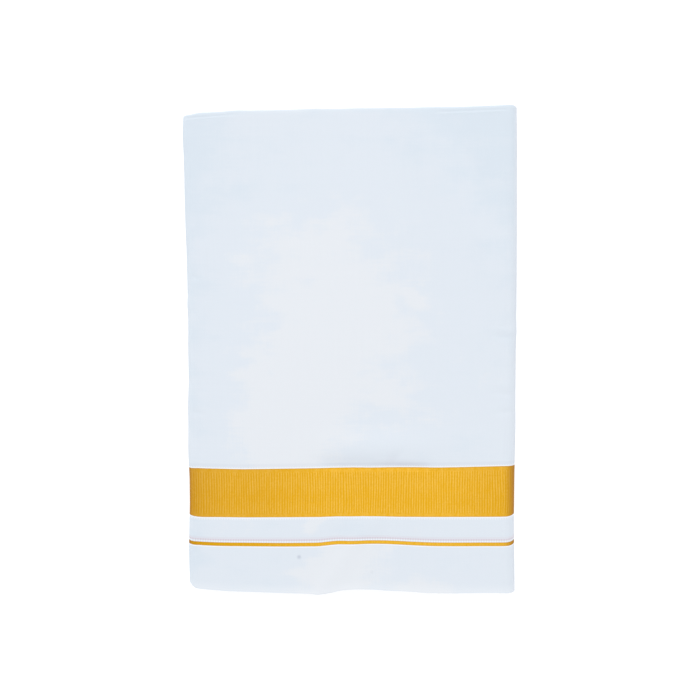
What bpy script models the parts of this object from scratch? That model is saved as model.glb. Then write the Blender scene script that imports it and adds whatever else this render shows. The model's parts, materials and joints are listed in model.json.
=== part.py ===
"""A folded dhoti: one length of woven cotton with a broad ochre border, folded flat for the shelf.

The cloth is 3.60 m long and 1.32 m wide, selvedge to selvedge. Folded in half twice across its
width it is one layer of four plies. That layer is then folded in half four times along its
length, so that sixteen layers lie on each other:

    left side                                          right side
    layers  1 to 8   upper fold, a fat roll            every layer turns here:
    layers  9 and 10 the two cut ends of the cloth     layer 1 runs round into layer 16,
    layers 11 and 12 inner fold, a thin roll           layer 2 into layer 15, and so on
    layers 13 to 16  lower fold, a middling roll

The outermost layer shows all round: it starts inside the upper fold, lies on top, turns down the
right side, lies underneath and ends inside the lower fold. It is the outer turn. The border is
woven along one selvedge, so each turn that shows is made in five stretches side by side. The
layers that are out of sight share one solid, with the edge of each layer raised front and back.

Metres, +Z up. X runs along the cloth's length, Y from the front selvedges to the back folds, and
the pile rests on Z = 0 with its box centred on the origin.
"""

import math
from collections import namedtuple

import bmesh
import bpy

MM = 0.001

# The cloth before it is folded
CLOTH_LENGTH = 3.60
CLOTH_WIDTH = 1.32
PLIES = 4
LAYERS = 16
PLY_PITCH = 0.35 * MM
SEAM_GAP = 0.3 * MM

# The border, measured in from the front selvedge
SELVEDGE_WIDTH = 31.9 * MM
FINE_LINE_WIDTH = 2.2 * MM
BORDER_GAP_WIDTH = 17.7 * MM
BROAD_BORDER_WIDTH = 33.6 * MM

# The pile
LAYER = PLIES * PLY_PITCH
OUTER_WALL = LAYER - SEAM_GAP
INNER_WALL = 1.02 * MM
HEIGHT = LAYERS * LAYER
DEPTH = CLOTH_WIDTH / PLIES
TURN_FULLNESS = 0.75  # how far a turn stands out, as a share of half its height

# The recess between the upper and the lower fold at the left
RECESS = 16 * MM
RECESS_FOOT = 4 * LAYER + SEAM_GAP
RECESS_SET_BACK = 1.5 * MM
INNER_FOLD_RADIUS = INNER_WALL + SEAM_GAP / 2
INNER_FOLD_IN = 3 * MM  # how far each of these stands in from the upper fold's own cloth
LOWER_END_IN = 2 * MM
UPPER_END_IN = 5 * MM
LOWER_FOLD_OUT = 1 * MM

# Edges of the layers that are out of sight, in from the outer turn's own edges
EDGE_SET_BACK = 0.9 * MM
EDGE_UNEVEN = 0.7 * MM
EDGE_GROOVE = 1.0 * MM
UNDER_SET_BACK = 1.2 * MM

# Steps of the mesh
RUN_STEPS = 18
RIGHT_TURN_STEPS = 10
LEFT_TURN_STEPS = 8
BODY_STATIONS = (0.0, 0.035, 0.075, 0.14, 0.28, 0.46, 0.64, 0.82, 0.94, 1.0)

WHITE = (0.80, 0.85, 0.91)
OCHRE = (0.83, 0.47, 0.05)

Side = namedtuple("Side", "y left_out right_out")
Edge = namedtuple("Edge", "x front_in back_out")
Swell = namedtuple("Swell", "x y half_x half_y rise")
Stretch = namedtuple("Stretch", "name width stations colour")
PathPoint = namedtuple("PathPoint", "x z set_back")

# How far each side stands out from the nominal width, in mm, from front to back
SIDES = (
    Side(-166, -3.2, 1.1),
    Side(-113, -2.5, 1.0),
    Side(-50, -1.8, 1.4),
    Side(10, -1.9, 2.3),
    Side(70, -0.4, 2.4),
    Side(105, 0.3, 2.4),
    Side(138, 1.8, 2.4),
    Side(166, 1.4, 2.4),
)

# How the front edge draws in and the back edge stands out from straight lines, in mm
EDGES = (
    Edge(-113, 6.2, -1.7),
    Edge(-109, 3.0, -0.9),
    Edge(-102, 1.5, -0.2),
    Edge(-78, 0.4, 0.8),
    Edge(-30, -1.0, 0.3),
    Edge(-19, -2.0, 0.5),
    Edge(-4, 0.3, 0.7),
    Edge(9, -0.3, 0.5),
    Edge(29, -0.7, 0.3),
    Edge(48, -1.0, 0.3),
    Edge(72, -1.3, -0.2),
    Edge(90, -1.0, 0.2),
    Edge(113, -1.2, 1.1),
)
FRONT_LINE = (-166.0 * MM, -165.9 * MM)  # the front edge's Y at the left and right sides
BACK_LINE = (162.4 * MM, 167.4 * MM)
EDGE_REACH = 0.06  # share of the depth over which an edge's unevenness dies away

# Where the weave itself is drawn back a little from the front edge, border and all
GATHER_X = 12.5 * MM
GATHER_HALF_X = 20 * MM
GATHER_DRAW = 2.2 * MM
GATHER_REACH = 0.2

# Soft rises of the top, in mm: a puff behind the broad border and two wide swells
SWELLS = (
    Swell(20, -67, 38, 11, 1.1),
    Swell(-25, -10, 80, 85, 0.9),
    Swell(30, 95, 70, 60, 0.6),
)


def steps(first, last, count):
    """count equal steps from first to last, both ends included."""
    return [first + (last - first) * i / count for i in range(count + 1)]


def blend(a, b, share):
    return a + (b - a) * share


def smooth_between(rows, key, column, position):
    """A column's value at a position in a table, on a smooth curve through its rows."""
    at = [getattr(row, key) for row in rows]
    value = [getattr(row, column) for row in rows]
    if position <= at[0]:
        return value[0]
    if position >= at[-1]:
        return value[-1]
    i = max(k for k in range(len(at) - 1) if at[k] <= position)
    slopes = []
    for k in (i, i + 1):
        before, after = max(k - 1, 0), min(k + 1, len(at) - 1)
        slopes.append((value[after] - value[before]) / (at[after] - at[before]))
    span = at[i + 1] - at[i]
    t = (position - at[i]) / span
    return (
        value[i] * (1 + 2 * t) * (1 - t) ** 2
        + value[i + 1] * (3 - 2 * t) * t**2
        + span * slopes[0] * t * (1 - t) ** 2
        - span * slopes[1] * (1 - t) * t**2
    )


def turn_width(layers):
    """How far a turn round that many layers stands out to the side."""
    return TURN_FULLNESS * layers / 2 * LAYER


def cloth_in_turns(layers):
    """Length of cloth in the nested half turns of a fold round that many layers."""
    oval = math.sqrt((1 + TURN_FULLNESS**2) / 2)
    return sum(math.pi * (k + 0.5) * LAYER * oval for k in range(layers // 2))


# What is left of the length when the folds have taken theirs lies flat in the sixteen runs
FLAT_RUN = (CLOTH_LENGTH - sum(cloth_in_turns(n) for n in (16, 8, 4, 2))) / LAYERS
WIDTH = turn_width(8) + FLAT_RUN + turn_width(16)
LEFT_TURN_X = -WIDTH / 2 + turn_width(8)
RIGHT_TURN_X = WIDTH / 2 - turn_width(16)
LOWER_TURN_X = LEFT_TURN_X - LOWER_FOLD_OUT
RECESS_X = LEFT_TURN_X + RECESS
RUN_XS = [LOWER_TURN_X, LEFT_TURN_X] + steps(RECESS_X, RIGHT_TURN_X, RUN_STEPS - 1)


def top_rise(x, y):
    """How far the top of the pile rises over its nominal height at a place."""
    return MM * sum(
        s.rise * math.exp(-(((x / MM - s.x) / s.half_x) ** 2) - ((y / MM - s.y) / s.half_y) ** 2)
        for s in SWELLS
    )


def gathered(x, depth_share):
    """How far back the gather draws the cloth at a place."""
    beside = math.exp(-(((x - GATHER_X) / GATHER_HALF_X) ** 2))
    return GATHER_DRAW * beside * math.exp(-depth_share / GATHER_REACH)


def place(x, z, depth_share, set_back=0.0):
    """The point in the pile of a nominal section point (x, z).

    depth_share is 0 at the front edge and 1 at the back edge. set_back moves the point in from
    the nearer of the two edges.
    """
    across = (x + WIDTH / 2) / WIDTH
    front_wave = MM * smooth_between(EDGES, "x", "front_in", x / MM)
    back_wave = MM * smooth_between(EDGES, "x", "back_out", x / MM)
    y = blend(blend(*FRONT_LINE, across), blend(*BACK_LINE, across), depth_share)
    y += gathered(x, depth_share)
    y += front_wave * math.exp(-depth_share / EDGE_REACH)
    y += back_wave * math.exp((depth_share - 1) / EDGE_REACH)
    y += set_back * (1 - 2 * depth_share)
    left_out = MM * smooth_between(SIDES, "y", "left_out", y / MM)
    right_out = MM * smooth_between(SIDES, "y", "right_out", y / MM)
    placed_x = x + blend(-left_out, right_out, across)
    return placed_x, y, z * (1 + top_rise(x, y) / HEIGHT)


def half_turn(centre_x, centre_z, semi_x, semi_z, count, side):
    """Section points round a half oval, from its foot to its crown, out on the given side."""
    return [
        (centre_x + side * semi_x * math.cos(a), centre_z + semi_z * math.sin(a))
        for a in steps(-math.pi / 2, math.pi / 2, count)
    ]


def outer_turn_path():
    """The outer face of the outermost layer, from inside the upper fold to inside the lower one."""
    upper = half_turn(LEFT_TURN_X, 12 * LAYER, turn_width(8), 4 * LAYER, LEFT_TURN_STEPS, -1)
    right = half_turn(RIGHT_TURN_X, 8 * LAYER, turn_width(16), 8 * LAYER, RIGHT_TURN_STEPS, 1)
    lower = half_turn(LOWER_TURN_X, 2 * LAYER, turn_width(4), 2 * LAYER, LEFT_TURN_STEPS, -1)
    tail_end = RECESS_X - SEAM_GAP
    over = [(x, HEIGHT) for x in RUN_XS[2:-1]]
    under = [(x, 0.0) for x in RUN_XS[1:-1]]
    points = [(tail_end, 8 * LAYER)] + upper + over + right[::-1] + under[::-1] + lower
    points.append((tail_end, 4 * LAYER))
    return [PathPoint(x, z, UNDER_SET_BACK * (1 - z / HEIGHT)) for x, z in points]


def inner_fold_path():
    """The outer face of the thin roll between layers 11 and 12, in the recess at the left."""
    centre_x = LEFT_TURN_X + INNER_FOLD_IN
    centre_z = RECESS_FOOT + INNER_FOLD_RADIUS
    roll = half_turn(
        centre_x, centre_z, INNER_FOLD_RADIUS, INNER_FOLD_RADIUS, LEFT_TURN_STEPS, -1
    )
    lower_tail = (RECESS_X - SEAM_GAP, RECESS_FOOT)
    upper_tail = (RECESS_X - SEAM_GAP, RECESS_FOOT + 2 * INNER_FOLD_RADIUS)
    return [PathPoint(x, z, RECESS_SET_BACK) for x, z in [lower_tail, *roll, upper_tail]]


def cloth_end_path(order, stands_in):
    """The lower face of a cut end of the cloth. The lower end has order 0, the upper end 1."""
    foot = RECESS_FOOT + 2 * INNER_FOLD_RADIUS + SEAM_GAP + order * (INNER_WALL + SEAM_GAP)
    xs = steps(LEFT_TURN_X + stands_in, RECESS_X - SEAM_GAP, 2)
    return [PathPoint(x, foot, RECESS_SET_BACK) for x in xs]


def stretches():
    """The border's five stretches from the front selvedge back, as ends along the depth."""
    rows = (
        Stretch("selvedge", SELVEDGE_WIDTH, (0.0, 0.45, 1.0), WHITE),
        Stretch("fine_line", FINE_LINE_WIDTH, (0.0, 1.0), OCHRE),
        Stretch("border_gap", BORDER_GAP_WIDTH, (0.0, 1.0), WHITE),
        Stretch("broad_border", BROAD_BORDER_WIDTH, (0.0, 0.5, 1.0), OCHRE),
    )
    begun = 0.0
    for row in rows:
        yield row, begun / DEPTH, (begun + row.width) / DEPTH
        begun += row.width
    yield Stretch("body", DEPTH - begun, BODY_STATIONS, WHITE), begun / DEPTH, 1.0


def material(name, colour):
    """Cotton of one colour, made once and shared."""
    found = bpy.data.materials.get(name)
    if found:
        return found
    made = bpy.data.materials.new(name)
    made.use_nodes = True
    shader = made.node_tree.nodes["Principled BSDF"]
    shader.inputs["Base Color"].default_value = (*colour, 1.0)
    shader.inputs["Roughness"].default_value = 0.85
    shader.inputs["Metallic"].default_value = 0.0
    return made


def cotton(colour):
    return material("ochre_cotton" if colour == OCHRE else "white_cotton", colour)


def add_object(name, bm, colour, collection):
    """A smooth-shaded object from a bmesh, with its cotton on it."""
    mesh = bpy.data.meshes.new(name)
    bm.to_mesh(mesh)
    bm.free()
    mesh.materials.append(cotton(colour))
    mesh.shade_smooth()
    mesh.set_sharp_from_angle(angle=math.radians(40))
    obj = bpy.data.objects.new(name, mesh)
    collection.objects.link(obj)
    return obj


def cloth_sheet(name, path, shares, wall, colour, collection):
    """A wall of cloth: a grid bent along a path, one row for each share of the depth.

    The grid is the outer face, and Solidify gives it its thickness towards the inside.
    """
    bm = bmesh.new()
    bmesh.ops.create_grid(bm, x_segments=len(path) - 1, y_segments=len(shares) - 1, size=0.5)
    for vert in bm.verts:
        point = path[round((vert.co.x + 0.5) * (len(path) - 1))]
        share = shares[round((vert.co.y + 0.5) * (len(shares) - 1))]
        vert.co = place(point.x, point.z, share, point.set_back)
    sheet = add_object(name, bm, colour, collection)
    solidify = sheet.modifiers.new("wall", "SOLIDIFY")
    solidify.thickness = wall
    solidify.offset = -1.0
    solidify.use_even_offset = True
    return sheet


def stretched_sheet(base_name, path, wall, collection):
    """One turn of the cloth, as five sheets side by side with a seam's gap between them."""
    half_gap = SEAM_GAP / 2 / DEPTH
    for row, begins, ends in stretches():
        first = begins + (half_gap if begins > 0 else 0.0)
        last = ends - (half_gap if ends < 1 else 0.0)
        shares = [blend(first, last, share) for share in row.stations]
        cloth_sheet(f"{base_name}_{row.name}", path, shares, wall, row.colour, collection)


def left_fold(layer):
    """The number of the fold that a layer turns in at the left. The cut ends have one each."""
    if layer <= 8:
        return min(layer, 9 - layer)
    if layer >= 13:
        return 4 + min(layer - 12, 17 - layer)
    return 7 if layer > 10 else layer - 1


def right_fold(layer):
    """The number of the fold that a layer turns in at the right."""
    return min(layer, 17 - layer)


def edge_set_back(layer, x, at_back):
    """How far in a hidden layer's edge lies. Layers joined by a fold agree at that fold."""
    phase = 2.0 if at_back else 0.0
    share = (x - LEFT_TURN_X) / (RIGHT_TURN_X - LEFT_TURN_X)
    uneven = blend(
        math.sin(1.9 * left_fold(layer) + phase),
        math.sin(2.3 * right_fold(layer) + phase),
        min(max(share, 0.0), 1.0),
    )
    return EDGE_SET_BACK + EDGE_UNEVEN * uneven


class LayeredSection:
    """The section of the hidden layers as a flat mesh, a strip for each run and each half turn.

    Every strip has three lines of points: a groove, the layer's edge, and a groove. Strips share
    their grooves with the layers next to them.
    """

    def __init__(self):
        self.bm = bmesh.new()
        self.layer_of = self.bm.verts.layers.int.new("layer_of")

    def add_strip(self, lines, layer):
        """Quads between lines of section points. Only the middle line carries the layer's number."""
        rows = []
        for number, line in enumerate(lines):
            row = [self.bm.verts.new((x, 0.0, z)) for x, z in line]
            for vert in row:
                vert[self.layer_of] = layer if number == 1 else 0
            rows.append(row)
        for lower, upper in zip(rows, rows[1:]):
            for a, b, c, d in zip(lower, lower[1:], upper[1:], upper):
                if (a.co - d.co).length > 1e-7 or (b.co - c.co).length > 1e-7:
                    self.bm.faces.new((a, b, c, d))

    def add_run(self, layer):
        """A layer's flat run, from its fold or from the recess to the right turns."""
        if layer <= 7:
            xs = RUN_XS[1:]
        elif layer <= 13:
            xs = RUN_XS[2:]
        else:
            xs = RUN_XS
        foot = (LAYERS - layer) * LAYER
        heights = (foot, foot + LAYER / 2, foot + LAYER)
        self.add_strip([[(x, z) for x in xs] for z in heights], layer)

    def add_turns(self, centre_x, centre_layers, nests, side, count, first_layer):
        """Nested half turns about one centre. The outermost clears the wall that goes round it."""
        clear_x = turn_width(2 * nests + 2) - OUTER_WALL - SEAM_GAP
        for nest in range(1, nests + 1):
            sizes = (nest, nest - 0.5, nest - 1)
            lines = [
                half_turn(
                    centre_x, centre_layers * LAYER, clear_x * n / nests, n * LAYER, count, side
                )
                for n in sizes
            ]
            self.add_strip(lines, first_layer + nests - nest)

    def finish(self):
        """Joins the strips and turns their faces to the front."""
        bmesh.ops.remove_doubles(self.bm, verts=self.bm.verts, dist=1e-6)
        bmesh.ops.recalc_face_normals(self.bm, faces=self.bm.faces)
        if self.bm.faces[0].normal.y > 0:
            bmesh.ops.reverse_faces(self.bm, faces=self.bm.faces)
        return self.bm


def hidden_section():
    section = LayeredSection()
    for layer in range(2, LAYERS):
        section.add_run(layer)
    section.add_turns(LEFT_TURN_X, 12, 3, -1, LEFT_TURN_STEPS, 2)
    section.add_turns(LOWER_TURN_X, 2, 1, -1, LEFT_TURN_STEPS, 15)
    section.add_turns(RIGHT_TURN_X, 8, 7, 1, RIGHT_TURN_STEPS, 2)
    return section.finish()


def depth_stations():
    """Shares of the depth where any stretch begins, ends or has a station, front to back."""
    shares = {0.0}
    for row, begins, ends in stretches():
        shares.update(round(blend(begins, ends, share), 6) for share in row.stations)
    return sorted(shares)


def folded_layers(collection):
    """The hidden layers: their section drawn through the depth, with layered ends."""
    bm = hidden_section()
    layer_of = bm.verts.layers.int["layer_of"]
    share_of = bm.verts.layers.float.new("share_of")
    drawn = [*bm.verts, *bm.edges, *bm.faces]
    for share in depth_stations()[1:]:
        drawn = bmesh.ops.extrude_face_region(bm, geom=drawn)["geom"]
        for part in drawn:
            if isinstance(part, bmesh.types.BMVert):
                part[share_of] = share
    for vert in bm.verts:
        share = vert[share_of]
        set_back = EDGE_SET_BACK + EDGE_GROOVE
        if vert[layer_of]:
            set_back = edge_set_back(vert[layer_of], vert.co.x, share > 0.5)
        vert.co = place(vert.co.x, vert.co.z, share, set_back)
    bmesh.ops.recalc_face_normals(bm, faces=bm.faces)
    return add_object("folded_layers", bm, WHITE, collection)


def main():
    for obj in list(bpy.data.objects):
        bpy.data.objects.remove(obj)
    collection = bpy.data.collections.new("folded_dhoti")
    bpy.context.scene.collection.children.link(collection)
    stretched_sheet("outer_turn", outer_turn_path(), OUTER_WALL, collection)
    stretched_sheet("inner_fold", inner_fold_path(), INNER_WALL, collection)
    for order, (name, stands_in) in enumerate(
        (("cloth_end_lower", LOWER_END_IN), ("cloth_end_upper", UPPER_END_IN))
    ):
        path = cloth_end_path(order, stands_in)
        cloth_end = cloth_sheet(name, path, depth_stations(), INNER_WALL, WHITE, collection)
        cloth_end.modifiers["wall"].offset = 1.0
    folded_layers(collection)


main()
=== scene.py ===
"""The looks of a folded dhoti: white cotton with an ochre border, four plies in sixteen layers.

The cloth is followed the way it was folded. A route leads through the pile's section, in X and Z,
from one cut end to the other. A ply section shows the four plies of a layer from the cloth's end,
in Y and depth. Each piece of cloth is a ply section carried along a stretch of the route and then
settled into the pile, which has uneven edges, soft swells and creases.

Metres, +Z up. X runs along the cloth's length, Y from the front selvedges to the back folds.
Each piece has a UV map in metres of flat cloth: U along its length, V across its width.
"""

from __future__ import annotations

import json
import logging
import math
from dataclasses import dataclass, field, fields, replace
from enum import Enum
from typing import NamedTuple

import bpy
import numpy as np
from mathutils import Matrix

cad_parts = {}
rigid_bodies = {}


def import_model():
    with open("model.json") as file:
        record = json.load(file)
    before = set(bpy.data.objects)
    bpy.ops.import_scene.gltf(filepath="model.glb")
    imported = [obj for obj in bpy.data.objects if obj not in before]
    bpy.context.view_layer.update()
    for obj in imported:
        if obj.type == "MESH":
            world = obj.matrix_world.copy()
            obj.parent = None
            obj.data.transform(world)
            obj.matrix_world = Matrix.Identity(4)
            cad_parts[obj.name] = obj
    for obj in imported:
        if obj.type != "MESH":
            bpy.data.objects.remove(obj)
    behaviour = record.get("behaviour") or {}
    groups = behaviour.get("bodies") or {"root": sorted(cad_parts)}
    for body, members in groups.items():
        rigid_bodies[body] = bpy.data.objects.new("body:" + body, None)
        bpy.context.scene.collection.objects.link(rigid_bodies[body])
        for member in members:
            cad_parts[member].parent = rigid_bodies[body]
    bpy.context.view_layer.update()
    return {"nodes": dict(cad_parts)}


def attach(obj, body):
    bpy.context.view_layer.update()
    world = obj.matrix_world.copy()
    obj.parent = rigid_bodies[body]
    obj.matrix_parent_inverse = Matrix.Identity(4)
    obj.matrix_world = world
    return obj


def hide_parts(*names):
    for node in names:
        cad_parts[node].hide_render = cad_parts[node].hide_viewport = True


MM = 0.001
UV_MAP = "flat_cloth"
LOG = logging.getLogger("folded_dhoti")

# A drift's sines: the share and the length in metres of each.
DRIFT_WAVES = ((0.55, 0.47), (0.3, 0.19), (0.15, 0.083))
# An uneven field's layers of random values, and the size of each layer's grid.
FIELD_LAYERS = 3
FIELD_GRID = 64

Array = np.ndarray
Colour = tuple[float, float, float]
Faces = tuple[Array, Array]
Socket = bpy.types.NodeSocket


class Finish(Enum):
    """The record's material slots, in the order in which a piece's mesh holds them."""

    WHITE = "white_cotton"
    OCHRE = "ochre_border"


class Fold(Enum):
    """The four folds that the layers turn in, each with the number of layers in it."""

    RIGHT = 16
    UPPER = 8
    LOWER = 4
    INNER = 2


class Side(NamedTuple):
    """How far the pile's two sides stand out from their nominal places at one Y, in mm."""

    y: float
    left_out: float
    right_out: float


class Edge(NamedTuple):
    """How far the front edge draws in and the back edge stands out at one X, in mm."""

    x: float
    front_in: float
    back_out: float


class Patch(NamedTuple):
    """A soft patch of the top with its own tone, or a swell with its rise in mm as its strength.

    Its place and half sizes are in mm, and lean is how far it slants in X for each step in Y.
    """

    x: float
    y: float
    half_x: float
    half_y: float
    strength: float
    lean: float = 0.0


class Sway(NamedTuple):
    """How far the border's lines drift to the back at one X, in mm.

    It gives the drift of the fine line and of the broad border's two edges.
    """

    x: float
    fine_line: float
    near_edge: float
    far_edge: float


class CutEnd(NamedTuple):
    """A cut end of the cloth: its layer, and how far in from the upper left fold it is, in mm."""

    layer: int
    inward: float


class Crease(NamedTuple):
    """A soft ridge, or a trough if its rise is negative, from one place to another, in mm."""

    x: float
    y: float
    to_x: float
    to_y: float
    half_width: float
    rise: float


def smooth_step(value: Array, low: float, high: float) -> Array:
    """A step from 0 at low to 1 at high: t squared times (3 - 2t), t being the share of the way."""
    t = np.clip((value - low) / (high - low), 0.0, 1.0)
    return t * t * (3 - 2 * t)


def smooth_through(at: list[float], value: list[float], position: Array) -> Array:
    """A smooth curve through the rows of a table.

    Args:
        at: the rows' places, rising.
        value: the rows' values.
        position: where to read the curve. Past the ends it keeps the end values.

    Returns:
        The cubic between two rows whose slope at each is that between its neighbours.
    """
    places, values = np.array(at), np.array(value)
    last = len(places) - 1
    before = np.maximum(np.arange(last + 1) - 1, 0)
    after = np.minimum(np.arange(last + 1) + 1, last)
    slopes = (values[after] - values[before]) / (places[after] - places[before])
    i = np.clip(np.searchsorted(places, position, side="right") - 1, 0, last - 1)
    span = places[i + 1] - places[i]
    t = np.clip((position - places[i]) / span, 0.0, 1.0)
    return (
        values[i] * (1 + 2 * t) * (1 - t) ** 2
        + values[i + 1] * (3 - 2 * t) * t**2
        + span * slopes[i] * t * (1 - t) ** 2
        - span * slopes[i + 1] * (1 - t) * t**2
    )


def wander(along: Array, start: float) -> Array:
    """A slow uneven drift from -1 to 1, as three sines of unlike lengths.

    Args:
        along: metres along the cloth.
        start: sets this drift apart from the others.

    Returns:
        The drift at each place.
    """
    return sum(
        share * np.sin(2 * np.pi * along / length + start * (1 + number))
        for number, (share, length) in enumerate(DRIFT_WAVES)
    )


def uneven(x: Array, y: Array, long_x: float, long_y: float, seed: int) -> Array:
    """A smooth field that rises and falls without a pattern, mostly between -1 and 1.

    Args:
        x: places along X.
        y: places along Y.
        long_x: length of its largest features along X.
        long_y: their length along Y.
        seed: picks one of many such fields.

    Returns:
        Three layers, each half as large and half as strong as the last, of random values on a
        grid with smooth steps between them.
    """
    values = np.random.default_rng(seed).uniform(-1, 1, (FIELD_LAYERS, FIELD_GRID, FIELD_GRID))
    total = np.zeros(x.shape)
    for finer, grid in enumerate(values):
        u, v = x / long_x * 2**finer, y / long_y * 2**finer
        i, j = (np.floor(place).astype(int) % FIELD_GRID for place in (u, v))
        next_i, next_j = (i + 1) % FIELD_GRID, (j + 1) % FIELD_GRID
        right, up = smooth_step(u % 1, 0, 1), smooth_step(v % 1, 0, 1)
        low = grid[i, j] * (1 - right) + grid[next_i, j] * right
        high = grid[i, next_j] * (1 - right) + grid[next_i, next_j] * right
        total += (low * (1 - up) + high * up) / 2**finer
    return total


def bells(x: Array, y: Array, patches: tuple[Patch, ...]) -> Array:
    """What some patches give together.

    Args:
        x: places along X, in mm.
        y: places along Y, in mm.
        patches: the patches.

    Returns:
        The sum of a bell for each patch, slanted by its lean.
    """
    total = np.zeros(np.broadcast(x, y).shape)
    for patch in patches:
        off_y = y - patch.y
        off_x = x - patch.x - patch.lean * off_y
        squared = (off_x / patch.half_x) ** 2 + (off_y / patch.half_y) ** 2
        total += patch.strength * np.exp(-squared)
    return total


def into_scene(name: str, data: bpy.types.ID) -> bpy.types.Object:
    """Puts some data into the scene.

    Args:
        name: the new object's name.
        data: its mesh, lamp or camera.

    Returns:
        The object.
    """
    thing = bpy.data.objects.new(name, data)
    bpy.context.scene.collection.objects.link(thing)
    return thing


class EndShadeStep(NamedTuple):
    """Painted shade on the ochre toward an end, from one X to another in mm, and by how much."""

    begins: float
    ends: float
    amount: float


class Mottle(NamedTuple):
    """An uneven field: its strength, the length of its features in X and in Y, and its seed."""

    amount: float
    long_x: float
    long_y: float
    seed: int

    def at(self, x: Array, y: Array) -> Array:
        """The field's values at some places in mm."""
        return self.amount * uneven(x, y, self.long_x, self.long_y, self.seed)


@dataclass(frozen=True)
class TopMarks:
    """Slow changes of tone and painted shade on the top, worked out for each point of the cloth.

    Attributes:
        patches: where white cloth is warmer, or colder if the strength is negative. The colder
            ones along the sides, the back fold and the crease beside the border are painted shade,
            the others the cloth's uneven tone.
        violets: a purplish painted shade in the crease beside the border.
        falls: painted shade that deepens the ochre toward the two ends, where the cloth turns down.
        tints: where the ochre is paler, or stronger if the strength is negative.
        shifts: how far the patches' outlines stray in X and in Y, in mm.
        mottles: the unevenness of the tone itself.
        top_begins: heights in mm between which the marks come in, so that only the top has them.
    """

    # Tone of the cloth; the negative ones at the sides, the back fold and the crease are painted
    # shade.
    patches: tuple[Patch, ...] = (
        Patch(-28, 68, 54, 25, 0.76),
        Patch(0, 18, 48, 34, 1.2),
        Patch(-42, -38, 38, 38, 1.3),
        Patch(-46, -76, 28, 14, 0.9),
        Patch(28, -38, 28, 18, 0.5),
        Patch(48, 33, 6, 7, 0.5, -0.5),
        Patch(-13, -153, 25, 24, 1.0, 0.9),
        Patch(6, -138, 18, 8, 0.5),
        Patch(-24, -120, 8, 10, 1.0, 0.6),
        Patch(50, -163, 30, 8, 0.7),
        Patch(-91, -122, 5, 8, 0.45),
        Patch(-73, -122, 5, 8, 0.45),
        Patch(-124, 160, 40, 90, -1.1),
        Patch(-117, 10, 18, 140, -0.5),
        Patch(114, 162, 78, 50, -0.9),
        Patch(118, 84, 28, 56, -0.6),
        Patch(104, 8, 24, 8, -0.4),
        Patch(111, -20, 7, 14, -0.45),
        Patch(8, -122, 18, 6, -0.5),
        Patch(2, -74, 14, 7, -0.6),
        Patch(-114, -140, 14, 32, -0.85),
        Patch(0, 168, 130, 5, -0.3),
    )
    # Painted shade in the crease beside the border, purplish.
    violets: tuple[Patch, ...] = (
        Patch(36, -78.5, 13, 3, 0.09),
        Patch(30, -74, 4, 4, 0.05),
        Patch(-3, -79, 9, 2.5, 0.04),
    )
    # Painted shade: the ochre deepens toward both ends, where the cloth turns down at the folds.
    falls: tuple[EndShadeStep, ...] = (
        EndShadeStep(-10, -75, 0.15),
        EndShadeStep(-78, -108, 0.14),
        EndShadeStep(-100, -113, 0.26),
        EndShadeStep(62, 104, 0.10),
        EndShadeStep(104, 115.5, 0.75),
        EndShadeStep(-108, -112, 0.5),
    )
    tints: tuple[Patch, ...] = (
        Patch(-60, -101, 50, 7, -0.17),
        Patch(40, -102, 70, 7, -0.14),
        Patch(105, -106, 14, 9, -0.12),
        Patch(-109, -86, 12, 6, 0.16),
        Patch(-95, -133, 45, 5, -0.4),
    )
    shifts: tuple[Mottle, Mottle] = (Mottle(5.6, 45, 12, 26), Mottle(2.8, 20, 33, 27))
    mottles: tuple[Mottle, ...] = (
        Mottle(0.10, 71, 59, 28),
        Mottle(0.23, 25, 8, 29),
        Mottle(0.15, 9, 11, 30),
    )
    top_begins: tuple[float, float] = (17.0, 21.0)

    def on(self, points: Array) -> dict[str, Array]:
        """All marks on some points.

        Args:
            points: the points, in metres.

        Returns:
            By attribute name a value for each point: the warmth is about 0 on most of the cloth, -1
            where it is cold, which is in part painted shade, and 1 where it is warm. The values for
            the crease and the ends are shares of colours that paint shade there, and tint is added
            to the share of the paler ochre.
        """
        x, y, z = (points[:, axis] / MM for axis in range(3))
        top = smooth_step(z, *self.top_begins)
        stray_x, stray_y = (shift.at(x, y) for shift in self.shifts)
        warmth_and_shade = bells(x + stray_x, y + stray_y, self.patches)
        for mottle in self.mottles:
            warmth_and_shade += mottle.at(x, y)
        return {
            "warmth_and_shade": warmth_and_shade * top,
            "violet": bells(x, y, self.violets) * top,
            "fade": sum(f.amount * smooth_step(x, f.begins, f.ends) for f in self.falls),
            "tint": bells(x, y, self.tints),
        }


@dataclass(frozen=True)
class Cut:
    """The flat cloth as it leaves the loom, with its border measured from the selvedge."""

    length: float = 3.60
    width: float = 1.32
    fine_line: tuple[float, float] = (31.75 * MM, 34.25 * MM)
    pink_thread: tuple[float, float] = (35.6 * MM, 36.7 * MM)
    broad_border: tuple[float, float] = (51.8 * MM, 85.4 * MM)

    def lines(self) -> list[float]:
        """Distances from the selvedge at which the colour changes."""
        return [*self.fine_line, *self.pink_thread, *self.broad_border]

    def is_ochre(self, across: Array) -> Array:
        """Whether places lie in the fine line or the broad border.

        Args:
            across: places across the width.

        Returns:
            True where the distance to the nearer selvedge is inside one of the two.
        """
        inward = np.minimum(across, self.width - across)
        ochre = np.zeros(inward.shape, bool)
        for begins, ends in (self.fine_line, self.broad_border):
            ochre |= (inward > begins) & (inward < ends)
        return ochre


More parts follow.
